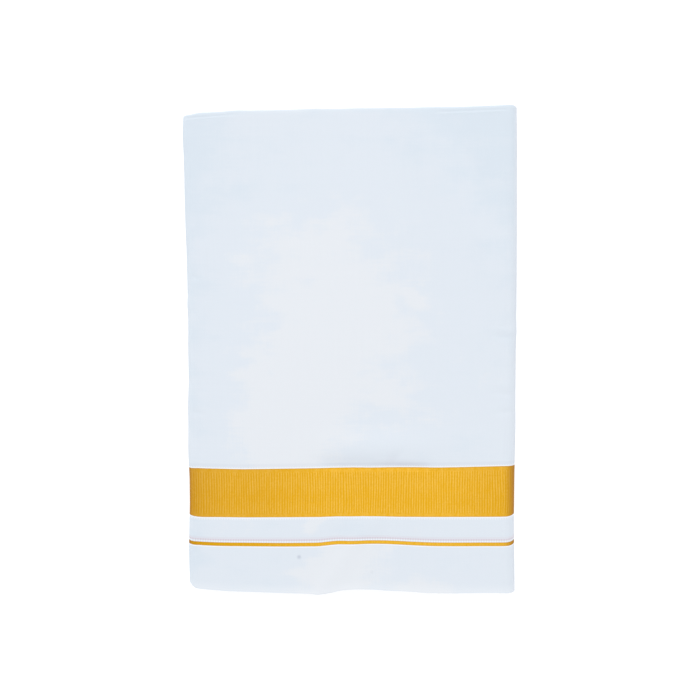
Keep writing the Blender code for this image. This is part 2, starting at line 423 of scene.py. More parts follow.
@dataclass(frozen=True)
class Pile:
    """The folded pile: nominal sizes of its layers and folds, and how it really lies.

    A nominal point is given by X and Z in the section and by a share of the depth. settle() puts
    it where the pile's uneven edges, swells and creases have it.

    How far the other folds at the left stand out or lie in is measured from the upper one. A line
    gives Y at the left side and at the right side. The reach of the edges and of the gather in the
    front edge is the share of the depth over which they die away. A power is that of the height,
    and keeps creases and the pressed back edge near the top. How far a crease dies away past its
    ends is in its own half widths.
    """

    cut: Cut = field(default_factory=Cut)
    layers: int = 16
    plies: int = 4
    ply_pitch: float = 0.35 * MM
    turn_fullness: float = 0.75
    outer_wall: float = 1.4 * MM
    lower_fold_out: float = 1 * MM
    inner_fold_in: float = 3 * MM
    cut_ends: tuple[CutEnd, CutEnd] = (CutEnd(9, 5), CutEnd(10, 2))
    front_line: tuple[float, float] = (-166.0 * MM, -165.9 * MM)
    back_line: tuple[float, float] = (162.75 * MM, 167.75 * MM)
    edge_reach: float = 0.06
    gather_x: float = 12.5 * MM
    gather_half_x: float = 20 * MM
    gather_draw: float = 2.2 * MM
    gather_reach: float = 0.2
    under_set_back: float = 1.2 * MM
    pressed_edge: float = 0.35 * MM
    pressed_reach: float = 1.8 * MM
    pressed_power: int = 3
    crease_power: int = 5
    crease_fade: float = 3
    sides: tuple[Side, ...] = (
        Side(-166, -3.3, 0.9),
        Side(-140, -2.5, 0.65),
        Side(-128, -2.6, 0.4),
        Side(-118, -2.75, 0.4),
        Side(-104, -3.05, 0.55),
        Side(-88, -2.85, 0.75),
        Side(-70, -2.0, 1.1),
        Side(-52, -2.0, 1.5),
        Side(-38, -1.8, 1.45),
        Side(-22, -2.25, 1.55),
        Side(3, -1.9, 1.8),
        Side(13, -1.95, 2.25),
        Side(23, -1.8, 2.1),
        Side(32, -1.4, 2.2),
        Side(51, -2.0, 2.35),
        Side(71, -0.65, 2.45),
        Side(92, 0.2, 2.5),
        Side(109, 0.65, 2.5),
        Side(119, 0.8, 2.5),
        Side(133, 1.2, 2.6),
        Side(148, 1.85, 2.55),
        Side(166, 1.4, 2.4),
    )
    edges: tuple[Edge, ...] = (
        Edge(-113, 6.2, -1.7),
        Edge(-109, 3.0, -1.5),
        Edge(-102, 2.0, -0.2),
        Edge(-95, 1.4, 0.0),
        Edge(-88, 0.8, 0.25),
        Edge(-78, 0.4, 0.85),
        Edge(-66, 0.0, 0.65),
        Edge(-49, -0.6, 0.6),
        Edge(-38, -0.95, 0.65),
        Edge(-30, -1.25, 0.8),
        Edge(-24, -1.8, 0.9),
        Edge(-16, -0.9, 0.7),
        Edge(-8, 0.3, 0.45),
        Edge(0, 0.2, 0.55),
        Edge(9, -0.4, 0.5),
        Edge(17, -0.7, 0.4),
        Edge(25, -0.6, 0.35),
        Edge(34, -0.2, 0.2),
        Edge(41, -0.2, 0.05),
        Edge(49, -0.6, 0.2),
        Edge(58, -0.85, 0.2),
        Edge(72, -0.9, 0.0),
        Edge(90, -0.65, 0.3),
        Edge(100, -0.65, 0.5),
        Edge(113, -1.1, 1.1),
    )
    swells: tuple[Patch, ...] = (
        Patch(20, -67, 38, 11, 1.1),
        Patch(-25, -10, 80, 85, 0.9),
        Patch(30, 95, 70, 60, 0.6),
    )
    sways: tuple[Sway, ...] = (
        Sway(-113, 0.4, 1.0, 0.1),
        Sway(-109, 0.4, 0.3, 0.0),
        Sway(-106, 0.35, -0.05, 0.0),
        Sway(-102, 0.15, -0.2, -0.2),
        Sway(-92, -0.1, -0.2, -0.5),
        Sway(-75, -0.2, -0.4, -0.9),
        Sway(-48, -0.3, -0.35, -0.7),
        Sway(-24, 0.0, -0.25, -0.5),
        Sway(-12, 0.6, -0.2, -0.4),
        Sway(0, 0.0, -0.7, -0.6),
        Sway(14, 0.05, -0.9, -0.95),
        Sway(30, 0.3, -0.8, -0.5),
        Sway(42, 0.1, -0.6, -0.4),
        Sway(62, -0.3, -0.6, -0.55),
        Sway(90, -0.4, -0.65, -0.15),
        Sway(104, -0.4, -0.6, 0.1),
        Sway(109, -0.2, -0.3, 0.1),
        Sway(113, 0.4, 0.5, 0.1),
    )
    creases: tuple[Crease, ...] = (
        Crease(-12, -80.2, 50, -80.4, 1.8, -0.45),
        Crease(-10, -77.4, 4, -77.8, 4.2, -0.6),
        Crease(22, -78.8, 45, -79.7, 2.6, -0.38),
        Crease(30, -76.0, 33, -72.5, 2.2, -0.22),
        Crease(-112, 158.8, -82, 161.2, 0.7, -0.16),
        Crease(-112, 157.5, -84, 160.0, 0.6, 0.07),
        Crease(62, 163.2, 106, 164.9, 0.7, -0.16),
        Crease(64, 162.0, 104, 163.7, 0.6, 0.07),
        Crease(103, 14, 118, 12, 1.3, 0.16),
        Crease(103, 9, 118, 8, 1.6, -0.2),
        Crease(104, -24, 118, -26, 1.5, 0.12),
        Crease(103, -30, 118, -31, 1.6, -0.18),
        Crease(104, -43, 118, -42, 1.8, -0.2),
        Crease(-116, 52, -108, 50, 1.6, -0.3),
        Crease(-116, -41, -104, -43, 1.4, -0.2),
        Crease(-20, -166, 8, -126, 6.0, 0.35),
        Crease(14, -166, 24, -128, 5.0, -0.3),
        Crease(40, 160, 96, 60, 12.0, 0.3),
        Crease(64, 160, 110, 84, 9.0, -0.25),
        Crease(-70, 150, -88, 20, 14.0, -0.25),
        Crease(-44, 60, -20, -30, 16.0, 0.25),
        Crease(66, 20, 88, -60, 14.0, -0.2),
    )

    @property
    def layer(self) -> float:
        """Height of a layer of plies."""
        return self.plies * self.ply_pitch

    @property
    def height(self) -> float:
        """Height of the pile."""
        return self.layers * self.layer

    @property
    def depth(self) -> float:
        """The pile's nominal size from the front edge to the back edge."""
        return self.cut.width / self.plies

    def turn_width(self, layers: int) -> float:
        """How far a turn round so many layers stands out: its fullness times half their height."""
        return self.turn_fullness * layers / 2 * self.layer

    def cloth_in_turns(self, layers: int) -> float:
        """Cloth in a fold's nested half turns, each pi times its half sizes' root mean square."""
        oval = math.sqrt((1 + self.turn_fullness**2) / 2)
        return sum(math.pi * (k + 0.5) * self.layer * oval for k in range(layers // 2))

    @property
    def width(self) -> float:
        """The pile's nominal size from the left fold's turn to the right fold's.

        Returns:
            A flat run, which is a layer's share of the cloth that the turns don't take, and the
            widths of the upper left and of the right fold.
        """
        taken = sum(self.cloth_in_turns(fold.value) for fold in Fold)
        flat_run = (self.cut.length - taken) / self.layers
        return self.turn_width(Fold.UPPER.value) + flat_run + self.turn_width(Fold.RIGHT.value)

    def turn_x(self, fold: Fold) -> float:
        """X of the centre of a fold's turns.

        Args:
            fold: the fold.

        Returns:
            Half the width in from the pile's side by the fold's own width, or a little out or in
            from the upper left fold.
        """
        left = -self.width / 2 + self.turn_width(Fold.UPPER.value)
        return {
            Fold.RIGHT: self.width / 2 - self.turn_width(Fold.RIGHT.value),
            Fold.UPPER: left,
            Fold.INNER: left + self.inner_fold_in,
            Fold.LOWER: left - self.lower_fold_out,
        }[fold]

    def left_fold(self, layer: int) -> Fold:
        """The fold at the left where a layer turns.

        Args:
            layer: the layer's number, counted down from the top.

        Returns:
            The upper fold for the first layers, the lower one for the last, else the inner one.
        """
        if layer <= Fold.UPPER.value:
            return Fold.UPPER
        return Fold.LOWER if layer > self.layers - Fold.LOWER.value else Fold.INNER

    def left_end(self, layer: int) -> float:
        """X at which a layer's flat run ends at the left.

        Args:
            layer: the layer's number, counted down from the top.

        Returns:
            The centre of the fold where it turns, or the cut end that lies in it.
        """
        for end in self.cut_ends:
            if layer == end.layer:
                return self.turn_x(Fold.UPPER) + MM * end.inward
        return self.turn_x(self.left_fold(layer))

    def _table(self, rows: tuple, key: str, column: str, position: Array) -> Array:
        """A column of a table, read on a smooth curve.

        Args:
            rows: the table's rows, in mm.
            key: the column that holds the rows' places.
            column: the column to read.
            position: where to read it, in metres.

        Returns:
            The values, in metres.
        """
        at = [getattr(row, key) for row in rows]
        value = [getattr(row, column) for row in rows]
        return MM * smooth_through(at, value, position / MM)

    def _ridges(self, x: Array, y: Array) -> Array:
        """How far creases lift the top layers.

        Args:
            x: places along the length, in mm.
            y: places along the depth, in mm.

        Returns:
            The sum of a ridge for each crease: a bell of the distance to its line, which fades
            out past its ends.
        """
        total = np.zeros(np.broadcast(x, y).shape)
        for crease in self.creases:
            run_x, run_y = crease.to_x - crease.x, crease.to_y - crease.y
            length = math.hypot(run_x, run_y)
            off_x, off_y = x - crease.x, y - crease.y
            along = (off_x * run_x + off_y * run_y) / length
            beside = (off_x * run_y - off_y * run_x) / length
            past = np.maximum(np.maximum(-along, along - length), 0.0)
            faded = past / (self.crease_fade * crease.half_width)
            total += crease.rise * np.exp(-((beside / crease.half_width) ** 2) - faded**2)
        return total

    def sway(self, x: Array, share: Array) -> Array:
        """How far lines across the cloth drift to the back.

        Args:
            x: nominal X.
            share: share of the depth.

        Returns:
            The table's three drifts at X, each times a curve over the share that is 1 at its own
            line and 0 at the others, at the front edge and in the middle of the cloth.
        """
        cut = self.cut
        marks = (sum(cut.fine_line) / 2, *cut.broad_border)
        at = [0.0, *(mark / self.depth for mark in marks), 0.5]
        total = np.zeros(np.broadcast(x, share).shape)
        for number, column in enumerate(("fine_line", "near_edge", "far_edge")):
            peak = [float(place == number + 1) for place in range(len(at))]
            drift = self._table(self.sways, "x", column, x)
            total += drift * smooth_through(at, peak, share)
        return total

    def settle(self, x: Array, z: Array, share: Array, set_back: Array) -> Array:
        """Puts nominal points where they lie in the settled pile.

        Args:
            x: nominal X in the section.
            z: nominal Z in the section.
            share: share of the depth, 0 at the front edge and 1 at the back edge.
            set_back: how far the point moves in from the nearer of the two edges.

        Returns:
            Points as an array of X, Y and Z. The edges' unevenness and the gather die away from
            the edges, the sides shift in proportion to X, and heights stretch to fit the swells,
            while creases reach only the top layers.
        """
        across = (x + self.width / 2) / self.width
        front = self.front_line[0] + (self.front_line[1] - self.front_line[0]) * across
        back = self.back_line[0] + (self.back_line[1] - self.back_line[0]) * across
        y = front + (back - front) * share
        beside = np.exp(-(((x - self.gather_x) / self.gather_half_x) ** 2))
        y = y + self.gather_draw * beside * np.exp(-share / self.gather_reach)
        y += self._table(self.edges, "x", "front_in", x) * np.exp(-share / self.edge_reach)
        y += self._table(self.edges, "x", "back_out", x) * np.exp((share - 1) / self.edge_reach)
        y += set_back * (1 - 2 * share) + self.sway(x, share)
        left_out = self._table(self.sides, "y", "left_out", y)
        right_out = self._table(self.sides, "y", "right_out", y)
        placed_x = x + (1 - across) * -left_out + across * right_out
        up, place = z / self.height, (placed_x / MM, y / MM)
        swollen = MM * bells(*place, self.swells)
        creased = MM * self._ridges(*place) * up**self.crease_power
        from_back = (1 - share) * self.depth
        pressed = self.pressed_edge * np.exp(-from_back / self.pressed_reach)
        lift = swollen + creased - pressed * up**self.pressed_power
        return np.stack([placed_x, y, z + lift * up], axis=-1)


@dataclass
class Route:
    """A stretch of the cloth's way through the pile, station by station.

    Attributes:
        first_face: X and Z of the side of the layer where the bordered ply lies.
        last_face: X and Z of the layer's other side.
        along: metres of cloth from the cut end.
        outer: 1 where the layer is the outermost one, fading to 0 inside the pile.
    """

    first_face: Array
    last_face: Array
    along: Array
    outer: Array

    @property
    def length(self) -> float:
        """Metres of cloth in this stretch."""
        return float(self.along[-1] - self.along[0])


@dataclass(frozen=True)
class Stepping:
    """How finely a route is stepped."""

    top_run: int
    hidden_run: int
    right_turn: int
    left_turn: int
    tail: int = 6


@dataclass
class Routing:
    """Leads the cloth through the pile in its true order, from the upper cut end to the lower.

    Attributes:
        pile: the pile.
        stepping: how finely the route is stepped.
        tail_length: how far the outer turn reaches in under the pile's left folds.
        order: the layers in the cloth's order, with odd ones to the right and even ones back.
        split: the layers in which the outer turn begins and ends.
    """

    pile: Pile
    stepping: Stepping
    tail_length: float = 60 * MM
    order: tuple[int, ...] = (9, 8, 1, 16, 13, 4, 5, 12, 11, 6, 3, 14, 15, 2, 7, 10)
    split: tuple[int, int] = (8, 13)

    def _semi_x(self, fold: Fold, nest: int) -> float:
        """How far a face of a fold stands out to the side.

        Args:
            fold: the fold.
            nest: the face's number, with 0 at the fold's centre.

        Returns:
            The fold's whole width for its outermost face. The others share what the outer wall
            leaves of it.
        """
        nests = fold.value // 2
        whole = self.pile.turn_width(fold.value)
        if nest == nests:
            return whole
        return (whole - self.pile.outer_wall) * nest / max(nests - 1, 1)

    def _run(self, layer: int, begins: float, ends: float, count: int) -> Faces:
        """The two faces of a layer's flat run.

        Args:
            layer: the layer's number, counted down from the top.
            begins: X of its first station.
            ends: X of its last station.
            count: how many steps lie between them.

        Returns:
            Points in X and Z at the layer's foot and head, the bordered ply's side first.
        """
        x = np.linspace(begins, ends, count + 1)
        foot = (self.pile.layers - layer) * self.pile.layer
        low = np.stack([x, np.full_like(x, foot)], axis=1)
        high = low + (0.0, self.pile.layer)
        return (high, low) if layer % 2 else (low, high)

    def _turn(self, layer: int, following: int) -> Faces:
        """The two faces of the half turn between two layers.

        Args:
            layer: the layer that comes first along the cloth.
            following: the layer that it turns into.

        Returns:
            Half ovals about the fold's centre, one for each face. The bordered ply is outside
            where the cloth turns down at the right or up at the left.
        """
        at_right, goes_down = bool(layer % 2), layer < following
        fold = Fold.RIGHT if at_right else self.pile.left_fold(layer)
        count = self.stepping.right_turn if at_right else self.stepping.left_turn
        nest = (abs(layer - following) + 1) // 2
        centre_z = (2 * self.pile.layers + 1 - layer - following) / 2 * self.pile.layer
        angle = np.linspace(np.pi / 2, -np.pi / 2, count + 1)[:: 1 if goes_down else -1]
        way = 1 if at_right else -1
        outside, inside = (
            np.stack(
                [
                    self.pile.turn_x(fold) + way * self._semi_x(fold, number) * np.cos(angle),
                    centre_z + number * self.pile.layer * np.sin(angle),
                ],
                axis=1,
            )
            for number in (nest, nest - 1)
        )
        return (outside, inside) if at_right == goes_down else (inside, outside)

    def _segments(self) -> list[list[Faces]]:
        """All runs and turns in order.

        Returns:
            A list of faces for each of three stretches. The first one runs from the upper cut
            end into layer 8, the next is the outer turn, and the last starts in layer 13.
        """
        right, steps = self.pile.turn_x(Fold.RIGHT), self.stepping
        found: list[list[Faces]] = [[]]
        for layer, following in zip(self.order, (*self.order[1:], None)):
            left = self.pile.left_end(layer)
            rightwards = bool(layer % 2)
            begins, ends = (left, right) if rightwards else (right, left)
            if layer in self.split:
                parting = left + self.tail_length
                counts = (steps.tail, steps.hidden_run)
                before, after = counts if rightwards else counts[::-1]
                found[-1].append(self._run(layer, begins, parting, before))
                found.append([self._run(layer, parting, ends, after)])
            else:
                count = steps.top_run if layer == 1 else steps.hidden_run
                found[-1].append(self._run(layer, begins, ends, count))
            if following:
                found[-1].append(self._turn(layer, following))
        return found

    def stretches(self) -> tuple[Route, Route, Route]:
        """The three stretches: the first inner one, the outer turn, and the second inner one.

        Returns:
            Routes whose stations are runs and turns laid end to end, with each joint once.
        """
        begun = 0.0
        routes = []
        for number, segments in enumerate(self._segments()):
            pieces = []
            for first, last in segments:
                steps = np.linalg.norm(np.diff((first + last) / 2, axis=0), axis=1)
                along = begun + np.concatenate([[0.0], np.cumsum(steps)])
                begun = float(along[-1])
                pieces.append((first, last, along))
            kept = [tuple(array[:-1] for array in piece) for piece in pieces[:-1]]
            first, last, along = (np.concatenate(both) for both in zip(*kept, pieces[-1]))
            inside = np.minimum(along - along[0], along[-1] - along)
            outer = smooth_step(inside, 0.0, self.tail_length) * (number == 1)
            routes.append(Route(first, last, along, outer))
        return routes[0], routes[1], routes[2]


@dataclass(frozen=True)
class SectionLine:
    """A line of points across a layer's plies, in the order of the cloth's width.

    Attributes:
        y: distance in from the front edge.
        h: depth from the face of the bordered ply.
        normal_y: Y part of the direction to the cloth's right side.
        normal_h: depth part of that direction.
        ply: 0 for the bordered ply, 1 for the two at the front fold, 2 for the last one.
        both_sides: whether the cloth's wrong side has a point here too.
    """

    y: Array
    h: Array
    normal_y: Array
    normal_h: Array
    ply: Array
    both_sides: Array

    @classmethod
    def joined(cls, parts: list[SectionLine]) -> SectionLine:
        """One line from several, end to end."""
        names = [column.name for column in fields(cls)]
        return cls(*(np.concatenate([getattr(part, name) for part in parts]) for name in names))

    def part(self, kept: Array) -> SectionLine:
        """The points of this line that kept picks."""
        return SectionLine(*(getattr(self, column.name)[kept] for column in fields(self)))

    def moved_out(self, distance: float) -> SectionLine:
        """This line moved along its normals."""
        y, h = self.y + distance * self.normal_y, self.h + distance * self.normal_h
        return replace(self, y=y, h=h)

    def across(self, width: float) -> Array:
        """Each point's place across the cloth's width.

        Args:
            width: the cut's width.

        Returns:
            The length of the line up to the point, scaled so that the whole line is the width.
        """
        steps = np.hypot(np.diff(self.y), np.diff(self.h))
        measured = np.concatenate([[0.0], np.cumsum(steps)])
        return measured * width / measured[-1]


@dataclass(frozen=True)
class PlySection:
    """The four plies of a layer, as they lie between its front and its back edge.

    The cloth starts at the front with the bordered selvedge, folds over at the back, again at
    the front between the last two plies, again at the back inside the first fold, and ends at
    the front with the other selvedge.

    Rounds, gaps and ins are how far its folds and its hidden selvedge stand out or lie in. The
    stations are where a hidden ply has points, in mm from the front edge, and stay a gap off its
    ends. The ply that shows has finer steps, and the finest in a band along the back edge.
    """

    pile: Pile
    thickness: float = 0.26 * MM
    back_round: float = 1.0 * MM
    inner_back_gap: float = 0.45 * MM
    selvedge_in: float = 0.45 * MM
    fold_in: float = 0.35 * MM
    stations: tuple[float, ...] = (1.5, 6, 16, 110, 150, 200, 250, 290, 312, 322)
    station_gap: float = 1 * MM
    fine_step: float = 1.3 * MM
    back_step: float = 0.45 * MM
    back_band: float = 8 * MM
    turn_points: int = 7

    def _coarse(self, begins: float, ends: float) -> Array:
        """Rising stations for a hidden ply.

        Args:
            begins: the first one.
            ends: the last one.

        Returns:
            Places in from the front edge, close together at the ply's ends and at the border.
        """
        places = np.concatenate([np.array(self.stations) * MM, self.pile.cut.lines()])
        gap = self.station_gap
        kept = places[(places > begins + gap) & (places < ends - gap)]
        return np.concatenate([[begins], np.sort(kept), [ends]])

    def _fine(self, begins: float, ends: float) -> tuple[Array, Array]:
        """Rising stations for the ply that shows.

        Args:
            begins: the first one.
            ends: the last one.

        Returns:
            The coarse stations with even steps between them, and which are coarse ones, since
            the wrong side shares only those.
        """
        coarse = self._coarse(begins, ends)
        at_back = coarse[1:] > self.pile.depth - self.back_band
        step = np.where(at_back, self.back_step, self.fine_step)
        counts = np.ceil(np.diff(coarse) / step).astype(int)
        spans = [
            np.linspace(a, b, n, endpoint=False) for a, b, n in zip(coarse, coarse[1:], counts)
        ]
        fine = np.concatenate([*spans, coarse[-1:]])
        shared = np.zeros(len(fine), bool)
        shared[[0, *np.cumsum(counts)]] = True
        return fine, shared

    def _flat(
        self, y: Array, h: float, normal: int, ply: int, shared: Array | None = None
    ) -> SectionLine:
        """A flat ply.

        Args:
            y: its stations.
            h: its depth.
            normal: 1 where the cloth's right side faces away from the bordered ply's face.
            ply: the ply number that its points carry.
            shared: which stations the wrong side has too, if not all.

        Returns:
            Points at one depth.
        """
        same = np.ones_like(y)
        both = same.astype(bool) if shared is None else shared
        return SectionLine(y, h * same, 0 * same, normal * same, ply * same, both)

    def _round(
        self, y: float, h: float, semi: tuple[float, float], turn: tuple[float, float], ply: int
    ) -> SectionLine:
        """A half turn of cloth about (y, h), between two angles in quarter turns.

        Args:
            y: the centre's distance from the front edge.
            h: the centre's depth.
            semi: half sizes along Y and in depth. A negative depth half size puts the cloth's
                right side inside the turn.
            turn: first and last angle.
            ply: the ply number that the points carry.

        Returns:
            The points between the turn's ends, which the plies next to it already have.
        """
        angle = np.linspace(*turn, self.turn_points)[1:-1] * np.pi / 2
        facing = 1 if semi[1] > 0 else -1
        same = np.ones_like(angle)
        return SectionLine(
            y + semi[0] * np.cos(angle),
            h + abs(semi[1]) * np.sin(angle),
            facing * np.cos(angle),
            facing * np.sin(angle),
            ply * same,
            same.astype(bool),
        )

    def line(self, fine: bool) -> SectionLine:
        """The whole line from the bordered selvedge to the other one.

        Args:
            fine: whether the bordered ply is stepped finely.

        Returns:
            Four flat plies joined by three half turns. A ply lies half a pitch down in its own
            quarter of the layer.
        """
        pitch = self.pile.ply_pitch
        small = pitch / 2
        front, back = self.fold_in + small, self.pile.depth - self.back_round
        inner_back = back - self.inner_back_gap
        top, shared = self._fine(0.0, back) if fine else (self._coarse(0.0, back), None)
        return SectionLine.joined(
            [
                self._flat(top, 0.5 * pitch, -1, 0, shared),
                self._round(back, 2 * pitch, (self.back_round, 1.5 * pitch), (-1, 1), 0),
                self._flat(self._coarse(front, back)[::-1], 3.5 * pitch, 1, 1),
                self._round(front, 3 * pitch, (small, small), (1, 3), 1),
                self._flat(self._coarse(front, inner_back), 2.5 * pitch, -1, 1),
                self._round(inner_back, 2 * pitch, (small, -small), (1, -1), 2),
                self._flat(self._coarse(self.selvedge_in, inner_back)[::-1], 1.5 * pitch, 1, 2),
            ]
        )

    def between(self, fine: bool, begins: float, ends: float) -> tuple[SectionLine, Array]:
        """A part of the line.

        Args:
            fine: whether the bordered ply is stepped finely.
            begins: where the part begins across the cloth's width.
            ends: where it ends.

        Returns:
            The part, and its points' places across the width.
        """
        line = self.line(fine)
        across = line.across(self.pile.cut.width)
        kept = (across >= begins) & (across <= ends)
        return line.part(kept), across[kept]


@dataclass
class ClothStretch:
    """A piece of cloth: part of the ply section carried along a route, as a closed thin shell.

    Attributes:
        name: the piece's name.
        section: how its plies lie.
        line: the section's points that belong to this piece.
        across: their places across the cloth's width.
        routes: the stretches of the route that it covers.
        shy: how much it keeps clear of the ply that shows, away from the edges.
        marks: the changes of tone and the painted shade that its points carry.

    The other sizes set how unevenly inner layers, the plies at the front and the cut ends lie in.
    A drift is where its wander starts, and a reach is how far in from the edge it dies away.
    """

    name: str
    section: PlySection
    line: SectionLine
    across: Array
    routes: list[Route]
    shy: float = 0.0
    marks: TopMarks = field(default_factory=TopMarks)
    shy_begins: tuple[float, float] = (6 * MM, 20 * MM)
    shy_sideways: float = 0.2
    edge_set_back: float = 0.9 * MM
    edge_uneven: float = 0.5 * MM
    edge_drift: float = 1.3
    ply_uneven: float = 0.4 * MM
    ply_drifts: tuple[float, float, float] = (0.4, 2.1, 3.7)
    ply_reach: float = 12 * MM
    end_ragged: float = 1.6 * MM
    end_waves: float = 4
    end_drift: float = 0.7
    end_apart: float = 0.6
    end_turn: float = 2.6
    end_reach: float = 9 * MM
    sharp_angle: float = math.radians(50)

    def flat_size(self) -> tuple[float, float]:
        """Width and length of the flat cloth in this piece."""
        return float(self.across[-1] - self.across[0]), sum(r.length for r in self.routes)

    def _ring(self) -> tuple[SectionLine, Array, Array]:
        """The right side's points, then the wrong side's back again.

        Returns:
            The ring's points moved out by half the cloth's thickness along their normals, their
            places across the width, and which points of the line the wrong side has.
        """
        shared = np.flatnonzero(self.line.both_sides)
        half = self.section.thickness / 2
        right = self.line.moved_out(half)
        wrong = self.line.part(shared[::-1]).moved_out(-half)
        across = np.concatenate([self.across, self.across[shared[::-1]]])
        return SectionLine.joined([right, wrong]), across, shared

    def _front_shift(self, route: Route, ring: SectionLine) -> Array:
        """How far each ply's front edge lies in.

        Args:
            route: the stretch.
            ring: the section's ring.

        Returns:
            An array of stations by ring points: a drift for each ply, which dies away from the
            front edge. The bordered ply has none where it is the outermost one.
        """
        shift = np.zeros((len(route.along), len(ring.y)))
        for ply, start in enumerate(self.ply_drifts):
            drift = self.ply_uneven * (0.5 + 0.5 * wander(route.along, start))
            loose = 1 - route.outer if ply == 0 else np.ones_like(route.outer)
            shift += np.outer(drift * loose, ring.ply == ply)
        return shift * np.exp(-ring.y / self.ply_reach)

    def _points(self, route: Route, ring: SectionLine) -> Array:
        """All points of one stretch.

        Args:
            route: the stretch.
            ring: the section's ring.

        Returns:
            An array of stations by ring points by X, Y and Z. A section point is blended between
            the layer's two faces by its depth, then settled into the pile.
        """
        pile = self.section.pile
        deep = (ring.h / pile.layer)[None, :, None]
        flat = route.first_face[:, None] * (1 - deep) + route.last_face[:, None] * deep
        x, z = flat[..., 0], flat[..., 1]
        y = ring.y[None, :] + self._front_shift(route, ring)
        apart = self.end_apart * np.cos(self.end_turn * ring.ply)
        ragged = self.end_ragged * (1 + wander(ring.y * self.end_waves, self.end_drift) + apart) / 2
        for end in (0.0, pile.cut.length):
            near = np.exp(-(((route.along - end) / self.end_reach) ** 2))
            x = x + np.outer(near, ragged)
        inward = np.minimum(y, pile.depth - y)
        hidden = self.shy * smooth_step(inward, *self.shy_begins)
        x, z = x * (1 - self.shy_sideways * hidden), z * (1 - hidden)
        loose = self.edge_set_back + self.edge_uneven * wander(route.along, self.edge_drift)
        under = pile.under_set_back * (1 - route.first_face[:, 1] / pile.height)
        set_back = loose * (1 - route.outer) + under * route.outer
        return pile.settle(x, z, y / pile.depth, set_back[:, None])

    def _faces(self, stations: int, around: int, shared: Array) -> Faces:
        """The faces of one stretch.

        Args:
            stations: number of stations.
            around: number of ring points.
            shared: points of the right side that the wrong side has too.

        Returns:
            Quads between stations and round the ring, and triangles that zip up the two ends:
            for each step of the right side the wrong side's point beside it, and back.
        """
        station, place = np.meshgrid(np.arange(stations - 1), np.arange(around), indexing="ij")
        following = (place + 1) % around
        low, high = station * around, (station + 1) * around
        quads = np.stack([low + place, low + following, high + following, high + place], axis=-1)
        wrong_of = around - 1 - np.arange(len(shared))
        step = np.arange(self.line.y.size - 1)
        beside = wrong_of[np.searchsorted(shared, step, side="right") - 1]
        over = np.stack([step + 1, step, beside], axis=-1)
        back = np.stack([wrong_of[1:], shared[1:], wrong_of[:-1]], axis=-1)
        start = np.concatenate([over, back])
        end = start[:, ::-1] + (stations - 1) * around
        return quads.reshape(-1, 4), np.concatenate([start, end])

    def build(self) -> bpy.types.Object:
        """Makes the piece.

        Returns:
            The cloth as one mesh object with its place in its mesh, its UV map, its marks, and a
            material index for each face.
        """
        ring, across, shared = self._ring()
        parts = []
        count = 0
        for route in self.routes:
            quads, triangles = self._faces(len(route.along), len(ring.y), shared)
            flat = np.stack(np.meshgrid(route.along, across, indexing="ij"), axis=-1)
            points = self._points(route, ring).reshape(-1, 3)
            parts.append((points, quads + count, triangles + count, flat.reshape(-1, 2)))
            count += len(points)
        return self._to_object(*(np.concatenate(arrays) for arrays in zip(*parts)))

    def _to_object(
        self, points: Array, quads: Array, triangles: Array, flat: Array
    ) -> bpy.types.Object:
        """Makes the mesh object.

        Args:
            points: its vertices.
            quads: faces of four vertices.
            triangles: faces of three vertices.
            flat: each vertex's place on the flat cloth.

        Returns:
            The object, with its faces turned out. A face is ochre by the middle of its corners'
            places across the cloth.
        """
        if signed_volume(points, quads, triangles) < 0:
            quads, triangles = quads[:, ::-1], triangles[:, ::-1]
        corners = np.concatenate([quads.ravel(), triangles.ravel()]).astype(np.int32)
        sizes = np.repeat([4, 3], [len(quads), len(triangles)])
        starts = np.concatenate([[0], np.cumsum(sizes)[:-1]]).astype(np.int32)
        mesh = bpy.data.meshes.new(self.name)
        mesh.vertices.add(len(points))
        mesh.vertices.foreach_set("co", points.ravel().astype(np.float32))
        mesh.loops.add(len(corners))
        mesh.loops.foreach_set("vertex_index", corners)
        mesh.polygons.add(len(sizes))
        mesh.polygons.foreach_set("loop_start", starts)
        across = np.add.reduceat(flat[corners, 1], starts) / sizes
        ochre = self.section.pile.cut.is_ochre(across)
        mesh.polygons.foreach_set("material_index", ochre.astype(np.int32))
        mesh.update(calc_edges=True)
        uv_map = mesh.uv_layers.new(name=UV_MAP)
        uv_map.data.foreach_set("uv", flat[corners].ravel().astype(np.float32))
        for name, values in self.marks.on(points).items():
            attribute = mesh.attributes.new(name, "FLOAT", "POINT")
            attribute.data.foreach_set("value", values.astype(np.float32))
        mesh.validate()
        mesh.shade_smooth()
        mesh.set_sharp_from_angle(angle=self.sharp_angle)
        return into_scene(self.name, mesh)


def signed_volume(points: Array, quads: Array, triangles: Array) -> float:
    """Volume of a closed mesh, negative if its faces point in.

    Args:
        points: the vertices.
        quads: faces of four vertices.
        triangles: faces of three vertices.

    Returns:
        A sixth of the sum of each triangle's triple product.
    """
    split = np.concatenate([quads[:, [0, 1, 2]], quads[:, [0, 2, 3]], triangles])
    a, b, c = (points[split[:, i]] for i in range(3))
    return float(np.einsum("ij,ij->i", a, np.cross(b, c)).sum() / 6)


class Ramp(NamedTuple):
    """A smooth move of a value from one range to another, and kept in it."""

    low: float
    high: float
    to_low: float = 0.0
    to_high: float = 1.0


